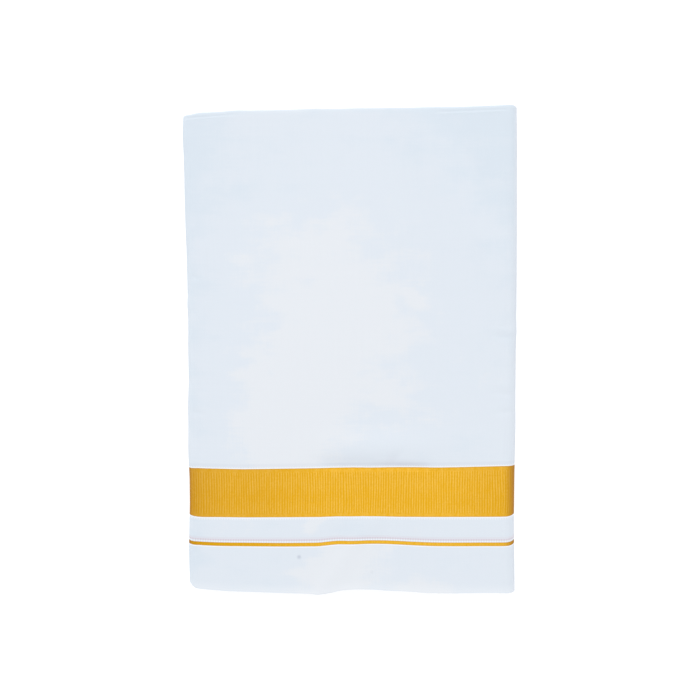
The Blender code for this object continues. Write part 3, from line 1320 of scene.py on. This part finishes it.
class Board:
    """A node tree with short calls that add nodes and join them."""

    def __init__(self, tree: bpy.types.NodeTree) -> None:
        """Starts on an existing tree."""
        self.tree = tree

    @classmethod
    def of_group(cls, name: str, takes: dict[str, str], gives: dict[str, str]) -> Board:
        """Starts a node group.

        Args:
            name: its name.
            takes: the kind of each of its inputs, Float or Vector, by name.
            gives: the kind of each of its outputs.

        Returns:
            A board on the new group's tree.
        """
        tree = bpy.data.node_groups.new(name, "ShaderNodeTree")
        for way, kinds in (("INPUT", takes), ("OUTPUT", gives)):
            for label, kind in kinds.items():
                tree.interface.new_socket(label, in_out=way, socket_type=f"NodeSocket{kind}")
        return cls(tree)

    def give(self, results: dict[str, Socket]) -> bpy.types.NodeTree:
        """Joins a group's results to its outputs.

        Args:
            results: a socket for each output, by name.

        Returns:
            The finished group.
        """
        out = self.tree.nodes.new("NodeGroupOutput")
        for name, socket in results.items():
            self.put(out.inputs[name], socket)
        return self.tree

    def put(self, socket: Socket, value: Socket | float | tuple) -> None:
        """Fills a socket.

        Args:
            socket: the socket.
            value: another socket to link it to, a number, or a colour or vector to set.
        """
        if isinstance(value, Socket):
            self.tree.links.new(value, socket)
        else:
            socket.default_value = value

    def add(self, kind: str, inputs: dict | None = None, **settings: object) -> bpy.types.Node:
        """Adds a node.

        Args:
            kind: its type, without the leading ShaderNode.
            inputs: values or sockets for its inputs, by name or number.
            **settings: its own properties.

        Returns:
            The node.
        """
        node = self.tree.nodes.new(f"ShaderNode{kind}")
        for name, value in settings.items():
            setattr(node, name, value)
        for key, value in (inputs or {}).items():
            self.put(node.inputs[key], value)
        return node

    def math(self, operation: str, *values: Socket | float) -> Socket:
        """The result of a Math node."""
        return self.add("Math", dict(enumerate(values)), operation=operation).outputs[0]

    def times(self, first: Socket | float, second: Socket | float) -> Socket:
        """The product of two values."""
        return self.math("MULTIPLY", first, second)

    def ramp(self, value: Socket, ramp: Ramp) -> Socket:
        """A value moved by a ramp."""
        inputs = dict(enumerate((value, *ramp)))
        return self.add("MapRange", inputs, interpolation_type="SMOOTHSTEP").outputs[0]

    def band(self, value: Socket, begins: float, ends: float, soft: float) -> Socket:
        """A band of a value.

        Args:
            value: the value.
            begins: where the band begins.
            ends: where it ends.
            soft: how wide the smooth step at each of its edges is.

        Returns:
            1 inside the band and 0 outside: one smooth step less another.
        """
        half = soft / 2
        rises, falls = (self.ramp(value, Ramp(at - half, at + half)) for at in (begins, ends))
        return self.math("SUBTRACT", rises, falls)

    def mix(self, share: Socket | float, first: Socket | Colour, second: Socket | Colour) -> Socket:
        """Mixes two colours.

        Args:
            share: the share of the second one.
            first: a colour.
            second: another one.

        Returns:
            The mixed colour.
        """
        node = self.add("Mix", {0: share}, data_type="RGBA")
        takes, gives = [
            [socket for socket in sockets if socket.type == "RGBA"]
            for sockets in (node.inputs, node.outputs)
        ]
        for socket, value in zip(takes, (first, second)):
            self.put(socket, (*value, 1.0) if isinstance(value, tuple) else value)
        return gives[0]

    def noise(self, place: Socket, along: float, across: float, detail: float = 1.0) -> Socket:
        """A noise over the flat cloth.

        Args:
            place: the flat place in mm.
            along: how many features a mm has along the cloth.
            across: how many it has across the cloth.
            detail: how much finer detail is added.

        Returns:
            A value round 0.5.
        """
        stretched = self.scaled(place, (along, across, 0.0))
        inputs = {"Vector": stretched, "Scale": 1.0, "Detail": detail}
        return self.add("TexNoise", inputs).outputs[0]

    def scaled(self, vector: Socket, scale: tuple[float, float, float]) -> Socket:
        """A vector scaled along each axis."""
        return self.add("VectorMath", {0: vector, 1: scale}, operation="MULTIPLY").outputs[0]

    def value_of(self, name: str) -> Socket:
        """A number that each point of the mesh carries, by its attribute's name."""
        return self.add("Attribute", attribute_name=name).outputs["Fac"]

    def group(self, tree: bpy.types.NodeTree, inputs: dict | None = None) -> dict[str, Socket]:
        """Places a node group.

        Args:
            tree: the group.
            inputs: values or sockets for its inputs, by name.

        Returns:
            Its outputs by name.
        """
        node = self.add("Group", node_tree=tree)
        for name, value in (inputs or {}).items():
            self.put(node.inputs[name], value)
        return {socket.name: socket for socket in node.outputs}


def new_material(name: str) -> tuple[bpy.types.Material, Board, bpy.types.Node]:
    """Starts a material.

    Args:
        name: its name.

    Returns:
        The material, a board on its node tree, and its shader.
    """
    material = bpy.data.materials.new(name)
    material.use_nodes = True
    return material, Board(material.node_tree), material.node_tree.nodes["Principled BSDF"]


@dataclass(frozen=True)
class FlatPlace:
    """A node group that tells where on the flat cloth a point lies."""

    cut: Cut

    def build(self) -> bpy.types.NodeTree:
        """Makes the group.

        Returns:
            A group with the flat place in mm as a vector, the distance along the cloth, and the
            distance in from the nearer selvedge.
        """
        gives = {"Place": "Vector", "Along": "Float", "From selvedge": "Float"}
        board = Board.of_group("flat_place", {}, gives)
        uv = board.add("UVMap", uv_map=UV_MAP).outputs[0]
        place = board.scaled(uv, (1 / MM, 1 / MM, 0.0))
        along, across, _ = board.add("SeparateXYZ", {0: place}).outputs
        other_side = board.math("SUBTRACT", self.cut.width / MM, across)
        inward = board.math("MINIMUM", across, other_side)
        return board.give({"Place": place, "Along": along, "From selvedge": inward})


@dataclass(frozen=True)
class Weave:
    """A node group for a plain weave with uneven yarns.

    Attributes:
        warp_streaks: how many features a mm the warp's uneven thickness has, along and across.
        weft_streaks: the same for the weft.
    """

    warp_streaks: tuple[float, float] = (0.012, 2.4)
    weft_streaks: tuple[float, float] = (2.1, 0.015)

    def build(self) -> bpy.types.NodeTree:
        """Makes the group.

        Returns:
            A group that takes a flat place in mm and the yarns' pitch each way. Height is the
            product of a sine along each yarn, over and under in turn. Slub is the uneven
            thickness of single yarns, as noise drawn out along each direction.
        """
        takes = {"Place": "Vector", "Warp pitch": "Float", "Weft pitch": "Float"}
        board = Board.of_group("plain_weave", takes, {"Height": "Float", "Slub": "Float"})
        place, warp_pitch, weft_pitch = board.tree.nodes.new("NodeGroupInput").outputs[:3]
        along, across, _ = board.add("SeparateXYZ", {0: place}).outputs
        waves = []
        for position, pitch in ((along, weft_pitch), (across, warp_pitch)):
            turns = board.math("DIVIDE", position, pitch)
            waves.append(board.math("SINE", board.times(turns, math.pi)))
        height = board.math("MULTIPLY_ADD", board.times(*waves), 0.5, 0.5)
        streaks = [board.noise(place, *often) for often in (self.warp_streaks, self.weft_streaks)]
        slub = board.times(board.math("ADD", *streaks), 0.5)
        return board.give({"Height": height, "Slub": slub})


@dataclass
class Groups:
    """The node groups that both finishes place."""

    cut: Cut
    flat: bpy.types.NodeTree = field(init=False)
    weave: bpy.types.NodeTree = field(init=False)

    def __post_init__(self) -> None:
        """Builds each group once."""
        self.flat = FlatPlace(self.cut).build()
        self.weave = Weave().build()

    def on_cloth(
        self, board: Board, warp_pitch: float, weft_pitch: float
    ) -> tuple[dict[str, Socket], dict[str, Socket]]:
        """Places both groups on a material's board.

        Args:
            board: the board.
            warp_pitch: width of a warp yarn, in mm.
            weft_pitch: width of a weft yarn, in mm.

        Returns:
            The outputs of the flat place and those of the weave, by name.
        """
        flat = board.group(self.flat)
        pitches = {"Warp pitch": warp_pitch, "Weft pitch": weft_pitch}
        return flat, board.group(self.weave, {"Place": flat["Place"], **pitches})


class Slub(NamedTuple):
    """A thick dark place in a yarn: its middle and how far it reaches, in mm."""

    x: float
    y: float
    z: float
    reach: float
    strength: float


class Grain(NamedTuple):
    """A fine unevenness: how many features a mm along and across the cloth, and how strong."""

    along: float
    across: float
    amount: float


class Stripe(NamedTuple):
    """A stripe along the cloth: where it begins and ends inward of a line, and its colour.

    Its edges and their softness are in mm. Its strength is a number, or follows the ticks.
    """

    begins: float
    ends: float
    soft: float
    colour: Colour
    strength: float | Ramp = 1.0

    def at(self, line: float) -> Stripe:
        """This stripe for a line that lies so far in from the selvedge, in mm."""
        return self._replace(begins=self.begins + line, ends=self.ends + line)

    def over(
        self, board: Board, colour: Socket, inward: Socket, ticks: Socket | None = None
    ) -> Socket:
        """Lays the stripe over a colour.

        Args:
            board: the material's board.
            colour: the colour under it.
            inward: the distance from the selvedge, in mm.
            ticks: a value that goes up and down along the cloth.

        Returns:
            The colour with the stripe.
        """
        share = board.band(inward, self.begins, self.ends, self.soft)
        strength = self.strength
        if isinstance(strength, Ramp):
            strength = board.ramp(ticks, strength)
        return board.mix(board.times(share, strength), colour, self.colour)


@dataclass(frozen=True)
class Surface:
    """How a finish takes the light: its shine, the fuzz on its yarns and its relief."""

    roughness: float
    sheen: float
    sheen_roughness: float
    specular: float
    bump: float
    bump_height: float
    sheen_tint: Colour = (1.0, 1.0, 1.0)

    def dress(self, board: Board, shader: bpy.types.Node, colour: Socket, relief: Socket) -> None:
        """Fills the shader's own sockets.

        Args:
            board: the material's board.
            shader: its shader.
            colour: the finish's colour.
            relief: its height, from 0 to about 1.
        """
        bump = {"Strength": self.bump, "Distance": self.bump_height, "Height": relief}
        for name, value in (
            ("Base Color", colour),
            ("Roughness", self.roughness),
            ("Sheen Weight", self.sheen),
            ("Sheen Roughness", self.sheen_roughness),
            ("Sheen Tint", (*self.sheen_tint, 1.0)),
            ("Specular IOR Level", self.specular),
            ("Normal", board.add("Bump", bump).outputs[0]),
        ):
            board.put(shader.inputs[name], value)


@dataclass(frozen=True)
class WhiteCotton:
    """Bleached and blued cotton, with the pink thread and the cords beside the border.

    Widths, pitches and distances are in mm. Each ramp gives a colour's or a stripe's share by what
    its name ends in: the warmth, the weave's slub and height, or the ticks along the cloth. Each
    stripe is placed from the edge that it lies beside. Shade is painted in part in the cold end
    of the warmth, and in the crease, beside the border and in the weave's gaps.
    """

    groups: Groups
    # Cold is the cloth's colder tone, and also the painted shade at the sides, fold and crease.
    cold: Colour = (0.677, 0.748, 0.824)
    plain: Colour = (0.723, 0.774, 0.840)
    warm: Colour = (0.769, 0.797, 0.840)
    cord: Colour = (0.860, 0.890, 0.930)
    pink: Colour = (0.655, 0.550, 0.610)
    # Also the colour of the painted shadow beside the border.
    slub: Colour = (0.330, 0.360, 0.470)
    # Painted shade in the crease beside the border.
    violet: Colour = (0.420, 0.340, 0.520)
    thin_yarn: Colour = (0.55, 0.62, 0.72)
    # Painted shade in the gaps between the yarns.
    gap: Colour = (0.5, 0.56, 0.66)
    surface: Surface = Surface(0.85, 0.06, 0.5, 0.2, bump=0.4, bump_height=0.06 * MM)
    warp_pitch: float = 0.34
    weft_pitch: float = 0.38
    tick_pitch: float = 1.75
    slub_depth: float = 0.1
    cold_to_plain: Ramp = Ramp(-1.0, 0.0)
    plain_to_warm: Ramp = Ramp(0.2, 0.75)
    thin_by_slub: Ramp = Ramp(0.3, 0.7, 0.0, 0.05)
    gap_by_height: Ramp = Ramp(0.0, 0.5, 0.17, 0.0)
    teeth_by_tick: Ramp = Ramp(-0.4, 0.8, 0.0, 0.6)
    dots_by_tick: Ramp = Ramp(-0.3, 0.7, 0.0, 0.8)
    thread_by_tick: Ramp = Ramp(-0.6, 0.6, 0.85, 0.5)
    outer_cord: Stripe = Stripe(-0.75, 0.0, 0.15, cord)
    inner_cord: Stripe = Stripe(0.0, 0.75, 0.15, cord)
    outer_teeth: Stripe = Stripe(-1.8, -0.75, 0.6, cord, teeth_by_tick)
    inner_teeth: Stripe = Stripe(0.75, 1.5, 0.6, cord, teeth_by_tick)
    border_shadow: Stripe = Stripe(1.3, 3.5, 1.4, slub, 0.085)
    # The cloth grows paler toward the selvedge.
    worn_selvedge: Stripe = Stripe(-9.0, 3.75, 6.5, cord, 0.3)
    blush: Stripe = Stripe(0.0, 1.3, 0.8, pink, 0.22)
    thread_soft: float = 0.3
    slub_relief: float = 0.7
    streaks: tuple[Grain, ...] = (Grain(0.10, 0.75, 0.4), Grain(0.75, 0.08, 0.3))
    slubs: tuple[Slub, ...] = (
        Slub(-34.9, -141.8, 22.4, 2.3, 0.42),
        Slub(15.1, -152.2, 22.4, 1.8, 0.09),
    )

    def _tone(self, board: Board, place: Socket) -> Socket:
        """How warm the cloth is, which in part is painted shade.

        Args:
            board: the material's board.
            place: the flat place in mm.

        Returns:
            The warmth that the mesh carries, in part painted shade, with streaks along single yarns
            added to it.
        """
        total = board.value_of("warmth_and_shade")
        for streak in self.streaks:
            noise = board.noise(place, streak.along, streak.across)
            noise = board.math("SUBTRACT", noise, 0.5)
            total = board.math("MULTIPLY_ADD", noise, streak.amount, total)
        return total

    def _stripes(self) -> tuple[Stripe, ...]:
        """The stripes beside the border and the fine line, and the paler selvedge.

        Returns:
            Three cords, the border's painted shadow, the paler strip, which is whole at the
            selvedge, the border's teeth, the ticks outside the pink thread, a blush inside it and
            the thread, in the order in which they lie over each other.
        """
        cut, soft = self.groups.cut, self.thread_soft
        near, far = (edge / MM for edge in cut.broad_border)
        line, line_end = (edge / MM for edge in cut.fine_line)
        thread, thread_end = (edge / MM for edge in cut.pink_thread)
        return (
            self.outer_cord.at(near),
            self.inner_cord.at(far),
            self.outer_cord.at(line),
            self.border_shadow.at(far),
            self.worn_selvedge,
            self.outer_teeth.at(near),
            self.inner_teeth.at(far),
            Stripe(line_end, thread, soft, self.cord, self.dots_by_tick),
            self.blush.at(thread_end),
            Stripe(thread, thread_end, soft, self.pink, self.thread_by_tick),
        )

    def _slubbed(self, board: Board, colour: Socket) -> Socket:
        """Adds the dark slubs.

        Args:
            board: the material's board.
            colour: the colour under them.

        Returns:
            The colour with each slub fading out with the distance from its middle.
        """
        squashed = (1 / MM, 1 / MM, self.slub_depth / MM)
        place = board.scaled(board.add("TexCoord").outputs["Object"], squashed)
        for slub in self.slubs:
            middle = (slub.x, slub.y, slub.z * self.slub_depth)
            away = board.add("VectorMath", {0: place, 1: middle}, operation="DISTANCE").outputs[1]
            share = board.ramp(away, Ramp(0.0, slub.reach, slub.strength, 0.0))
            colour = board.mix(share, colour, self.slub)
        return colour

    def build(self) -> bpy.types.Material:
        """Makes the material.

        Returns:
            The material of all white cloth: its tone, in part painted shade, the painted shade in
            the crease, the stripes and slubs, the weave's darker yarns and the painted shade in its
            gaps.
        """
        material, board, shader = new_material(Finish.WHITE.value)
        flat, weave = self.groups.on_cloth(board, self.warp_pitch, self.weft_pitch)
        tone = self._tone(board, flat["Place"])
        # The cold end also paints shade at the sides, along the back fold and in the crease.
        colour = board.mix(board.ramp(tone, self.cold_to_plain), self.cold, self.plain)
        colour = board.mix(board.ramp(tone, self.plain_to_warm), colour, self.warm)
        # Paints the purplish shade in the crease beside the border.
        colour = board.mix(board.value_of("violet"), colour, self.violet)
        ticks = board.math("SINE", board.times(flat["Along"], math.tau / self.tick_pitch))
        for stripe in self._stripes():
            colour = stripe.over(board, colour, flat["From selvedge"], ticks)
        colour = self._slubbed(board, colour)
        colour = board.mix(board.ramp(weave["Slub"], self.thin_by_slub), colour, self.thin_yarn)
        # Paints shade into the gaps of the weave.
        colour = board.mix(board.ramp(weave["Height"], self.gap_by_height), colour, self.gap)
        relief = board.math("MULTIPLY_ADD", weave["Slub"], self.slub_relief, weave["Height"])
        self.surface.dress(board, shader, colour, relief)
        return material


@dataclass(frozen=True)
class OchreBorder:
    """Dense ochre warp with ribs across the border, and a plain strip along each of its edges.

    Widths, pitches and distances are in mm. The drift of the ribs and their patches are given by
    the features a mm that their noise has along the cloth and across it.
    """

    groups: Groups
    deep: Colour = (0.785, 0.402, 0.001)
    light: Colour = (0.895, 0.525, 0.078)
    edge: Colour = (0.560, 0.290, 0.010)
    # Painted shade that deepens the ochre toward the border's ends.
    shaded: Colour = (0.290, 0.090, 0.002)
    surface: Surface = Surface(
        0.65, 0.04, 0.4, 0.15, bump=0.5, bump_height=0.12 * MM, sheen_tint=light
    )
    warp_pitch: float = 0.26
    weft_pitch: float = 0.8
    rib_pitch: float = 1.75
    rib_drift: float = 1.6
    rib_contrast: float = 0.5
    plain_strip: float = 2.7
    strip_soft: float = 0.6
    strip_ribs: float = 0.12
    lightness: float = 0.40
    drift: tuple[float, float] = (0.05, 0.02)
    patchy: tuple[float, float, float] = (0.35, 0.22, 3.0)
    ribs_by_patch: Ramp = Ramp(0.35, 0.6, 0.4, 1.15)
    grains: tuple[Grain, ...] = (Grain(0.55, 0.09, 0.16), Grain(0.7, 0.8, 0.16))
    grain_range: tuple[float, float] = (0.3, 0.7)
    grain_detail: float = 2.0
    edging: Stripe = Stripe(-0.45, 0.45, 0.3, edge, 0.45)
    yarn_by_slub: Ramp = Ramp(0.3, 0.7, 0.0, 0.16)
    weave_relief: float = 0.3

    def _ribs(self, board: Board, flat: dict[str, Socket]) -> tuple[Socket, Socket]:
        """The ribs across the border.

        Args:
            board: the material's board.
            flat: the flat place's outputs.

        Returns:
            A sine along the cloth that strays a little, and its strength: patchy inside the
            border and low in the plain strips.
        """
        drift = board.noise(flat["Place"], *self.drift)
        turns = board.math("DIVIDE", flat["Along"], self.rib_pitch)
        turns = board.math("MULTIPLY_ADD", drift, self.rib_drift, turns)
        ribs = board.math("SINE", board.times(turns, math.tau))
        begins, ends = (edge / MM for edge in self.groups.cut.broad_border)
        strip = self.plain_strip
        ribbed = board.band(flat["From selvedge"], begins + strip, ends - strip, self.strip_soft)
        patchy = board.noise(flat["Place"], *self.patchy)
        strength = board.times(ribbed, board.ramp(patchy, self.ribs_by_patch))
        return ribs, board.math("ADD", strength, self.strip_ribs)

    def build(self) -> bpy.types.Material:
        """Makes the material.

        Returns:
            The material of the broad border and of the fine line: two ochres mixed by the ribs
            and the grain, darker edges and yarns, and painted shade that deepens the ochre toward
            the ends.
        """
        material, board, shader = new_material(Finish.OCHRE.value)
        flat, weave = self.groups.on_cloth(board, self.warp_pitch, self.weft_pitch)
        ribs, strength = self._ribs(board, flat)
        amount = board.math("ADD", board.value_of("tint"), self.lightness)
        contrast = board.times(strength, self.rib_contrast)
        amount = board.math("MULTIPLY_ADD", ribs, contrast, amount)
        for grain in self.grains:
            noise = board.noise(flat["Place"], grain.along, grain.across, self.grain_detail)
            noise = board.ramp(noise, Ramp(*self.grain_range, -grain.amount, grain.amount))
            amount = board.math("ADD", amount, noise)
        colour = board.mix(amount, self.deep, self.light)
        for edge in (*self.groups.cut.broad_border, *self.groups.cut.fine_line):
            colour = self.edging.at(edge / MM).over(board, colour, flat["From selvedge"])
        # Paints shade on the ochre toward the ends, where the cloth turns down.
        colour = board.mix(board.value_of("fade"), colour, self.shaded)
        colour = board.mix(board.ramp(weave["Slub"], self.yarn_by_slub), colour, self.edge)
        relief = board.times(board.math("ADD", ribs, 1.0), strength)
        relief = board.math("MULTIPLY_ADD", weave["Height"], self.weave_relief, relief)
        self.surface.dress(board, shader, colour, relief)
        return material


@dataclass
class FoldedDhoti:
    """The whole folded cloth: its pieces, their finishes and what they stand for.

    Attributes:
        pile: how it is folded and how it lies.
        fold_over: how far the outer ply reaches over its fold at the back.
        lap: how far the plies beneath reach under its end there.
        keep_clear: how much hidden cloth keeps clear of the ply that shows.
        shown: how finely the ply that shows is stepped.
        hidden: how finely the rest is.
    """

    pile: Pile = field(default_factory=Pile)
    fold_over: float = 15 * MM
    lap: float = 1 * MM
    keep_clear: float = 0.02
    shown: Stepping = Stepping(top_run=150, hidden_run=18, right_turn=30, left_turn=16)
    hidden: Stepping = Stepping(top_run=30, hidden_run=18, right_turn=12, left_turn=8)

    def _pieces(self) -> list[ClothStretch]:
        """The three pieces of cloth.

        Returns:
            The outer ply of the outer turn, the plies under it, and the layers folded inside.
        """
        section = PlySection(self.pile)
        shown = Routing(self.pile, self.shown).stretches()[1]
        first, outer, second = Routing(self.pile, self.hidden).stretches()
        ends = self.pile.depth + self.fold_over
        ply = section.between(True, 0.0, ends)
        under = section.between(False, ends - self.lap, math.inf)
        whole = section.between(False, 0.0, math.inf)
        return [
            ClothStretch("outer_ply", section, *ply, [shown]),
            ClothStretch("plies_beneath", section, *under, [outer], self.keep_clear),
            ClothStretch("folded_inside", section, *whole, [first, second], self.keep_clear),
        ]

    def build(self, nodes: list[str]) -> None:
        """Makes and dresses the cloth.

        Args:
            nodes: the names of the solids that it stands for.
        """
        groups = Groups(self.pile.cut)
        finishes = (WhiteCotton(groups).build(), OchreBorder(groups).build())
        outer_nodes = [name for name in nodes if name.startswith("outer_turn")]
        inner_nodes = [name for name in nodes if name not in outer_nodes]
        stands_for = {"outer_ply": outer_nodes, "folded_inside": inner_nodes}
        for stretch in self._pieces():
            piece = stretch.build()
            for material in finishes:
                piece.data.materials.append(material)
            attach(piece, "root")
            stretch.flat_size()
            if stretch.name in stands_for:
                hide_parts(*stands_for[stretch.name])
            LOG.info("%s: %d faces", stretch.name, len(piece.data.polygons))


@dataclass
class Studio:
    """A pale table that glows like a light box, soft light from behind, and a camera overhead.

    Sizes are in metres, but those inside the camera in mm. The surround's brightness changes from
    the horizon up to its reach, which would be 1 straight above. The lamp faces the cloth.
    """

    pile_top: float
    table_size: float = 6.0
    table_drop: float = 0.2 * MM
    table_colour: Colour = (0.36, 0.36, 0.36)
    table_roughness: float = 0.9
    table_glow: float = 0.78
    sky_overhead: float = 0.64
    sky_low: float = 1.05
    sky_reach: float = 0.35
    sky_colour: Colour = (0.965, 0.98, 1.0)
    lamp_place: tuple[float, float, float] = (-0.9, 8.1, 10.8)
    lamp_size: float = 8.8
    lamp_power: float = 1130.0
    lamp_colour: Colour = (1.0, 0.985, 0.955)
    camera_height: float = 0.666
    camera_near: float = 0.01
    focal_length: float = 50.0
    sensor_width: float = 36.0

    def build(self) -> None:
        """Sets up the table, the lights, the world and the camera."""
        self._table()
        self._lamp()
        self._world()
        self._camera()
        bpy.context.scene.view_settings.view_transform = "Standard"
        LOG.info("studio ready")

    def _table(self) -> None:
        """A wide pale table top just under the cloth."""
        half = self.table_size / 2
        mesh = bpy.data.meshes.new("table_top")
        corners = [(-half, -half), (half, -half), (half, half), (-half, half)]
        mesh.from_pydata([(x, y, -self.table_drop) for x, y in corners], [], [(0, 1, 2, 3)])
        material, board, shader = new_material("pale_table")
        for name, value in (
            ("Base Color", (*self.table_colour, 1.0)),
            ("Roughness", self.table_roughness),
            ("Emission Color", (1.0, 1.0, 1.0, 1.0)),
            ("Emission Strength", self.table_glow),
        ):
            board.put(shader.inputs[name], value)
        mesh.materials.append(material)
        into_scene("table_top", mesh)

    def _lamp(self) -> None:
        """A large soft box behind the cloth and above it, which shows the creases."""
        lamp = bpy.data.lights.new("soft_box", "AREA")
        lamp.shape = "DISK"
        lamp.size = self.lamp_size
        lamp.energy = self.lamp_power
        lamp.color = self.lamp_colour
        holder = into_scene("soft_box", lamp)
        holder.location = self.lamp_place
        holder.rotation_euler = holder.location.to_track_quat("Z", "Y").to_euler()

    def _world(self) -> None:
        """A pale surround, brighter toward the horizon."""
        world = bpy.data.worlds.new("pale_surround")
        world.use_nodes = True
        board = Board(world.node_tree)
        background = world.node_tree.nodes["Background"]
        board.put(background.inputs["Color"], (*self.sky_colour, 1.0))
        direction = board.add("TexCoord").outputs["Object"]
        up = board.add("SeparateXYZ", {0: direction}).outputs[2]
        strength = board.ramp(up, Ramp(0.0, self.sky_reach, self.sky_low, self.sky_overhead))
        board.put(background.inputs["Strength"], strength)
        bpy.context.scene.world = world

    def _camera(self) -> None:
        """A camera that looks straight down on the middle of the pile."""
        camera = bpy.data.cameras.new("overhead")
        camera.lens = self.focal_length
        camera.sensor_width = self.sensor_width
        camera.clip_start = self.camera_near
        holder = into_scene("overhead", camera)
        holder.location = (0.0, 0.0, self.pile_top + self.camera_height)
        bpy.context.scene.camera = holder


def main() -> None:
    """Loads the frame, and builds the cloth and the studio."""
    logging.basicConfig(level=logging.INFO, format="%(name)s: %(message)s")
    for thing in list(bpy.data.objects):
        bpy.data.objects.remove(thing)
    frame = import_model()
    dhoti = FoldedDhoti()
    dhoti.build(sorted(frame["nodes"]))
    Studio(pile_top=dhoti.pile.height).build()


if __name__ == "__main__":
    main()
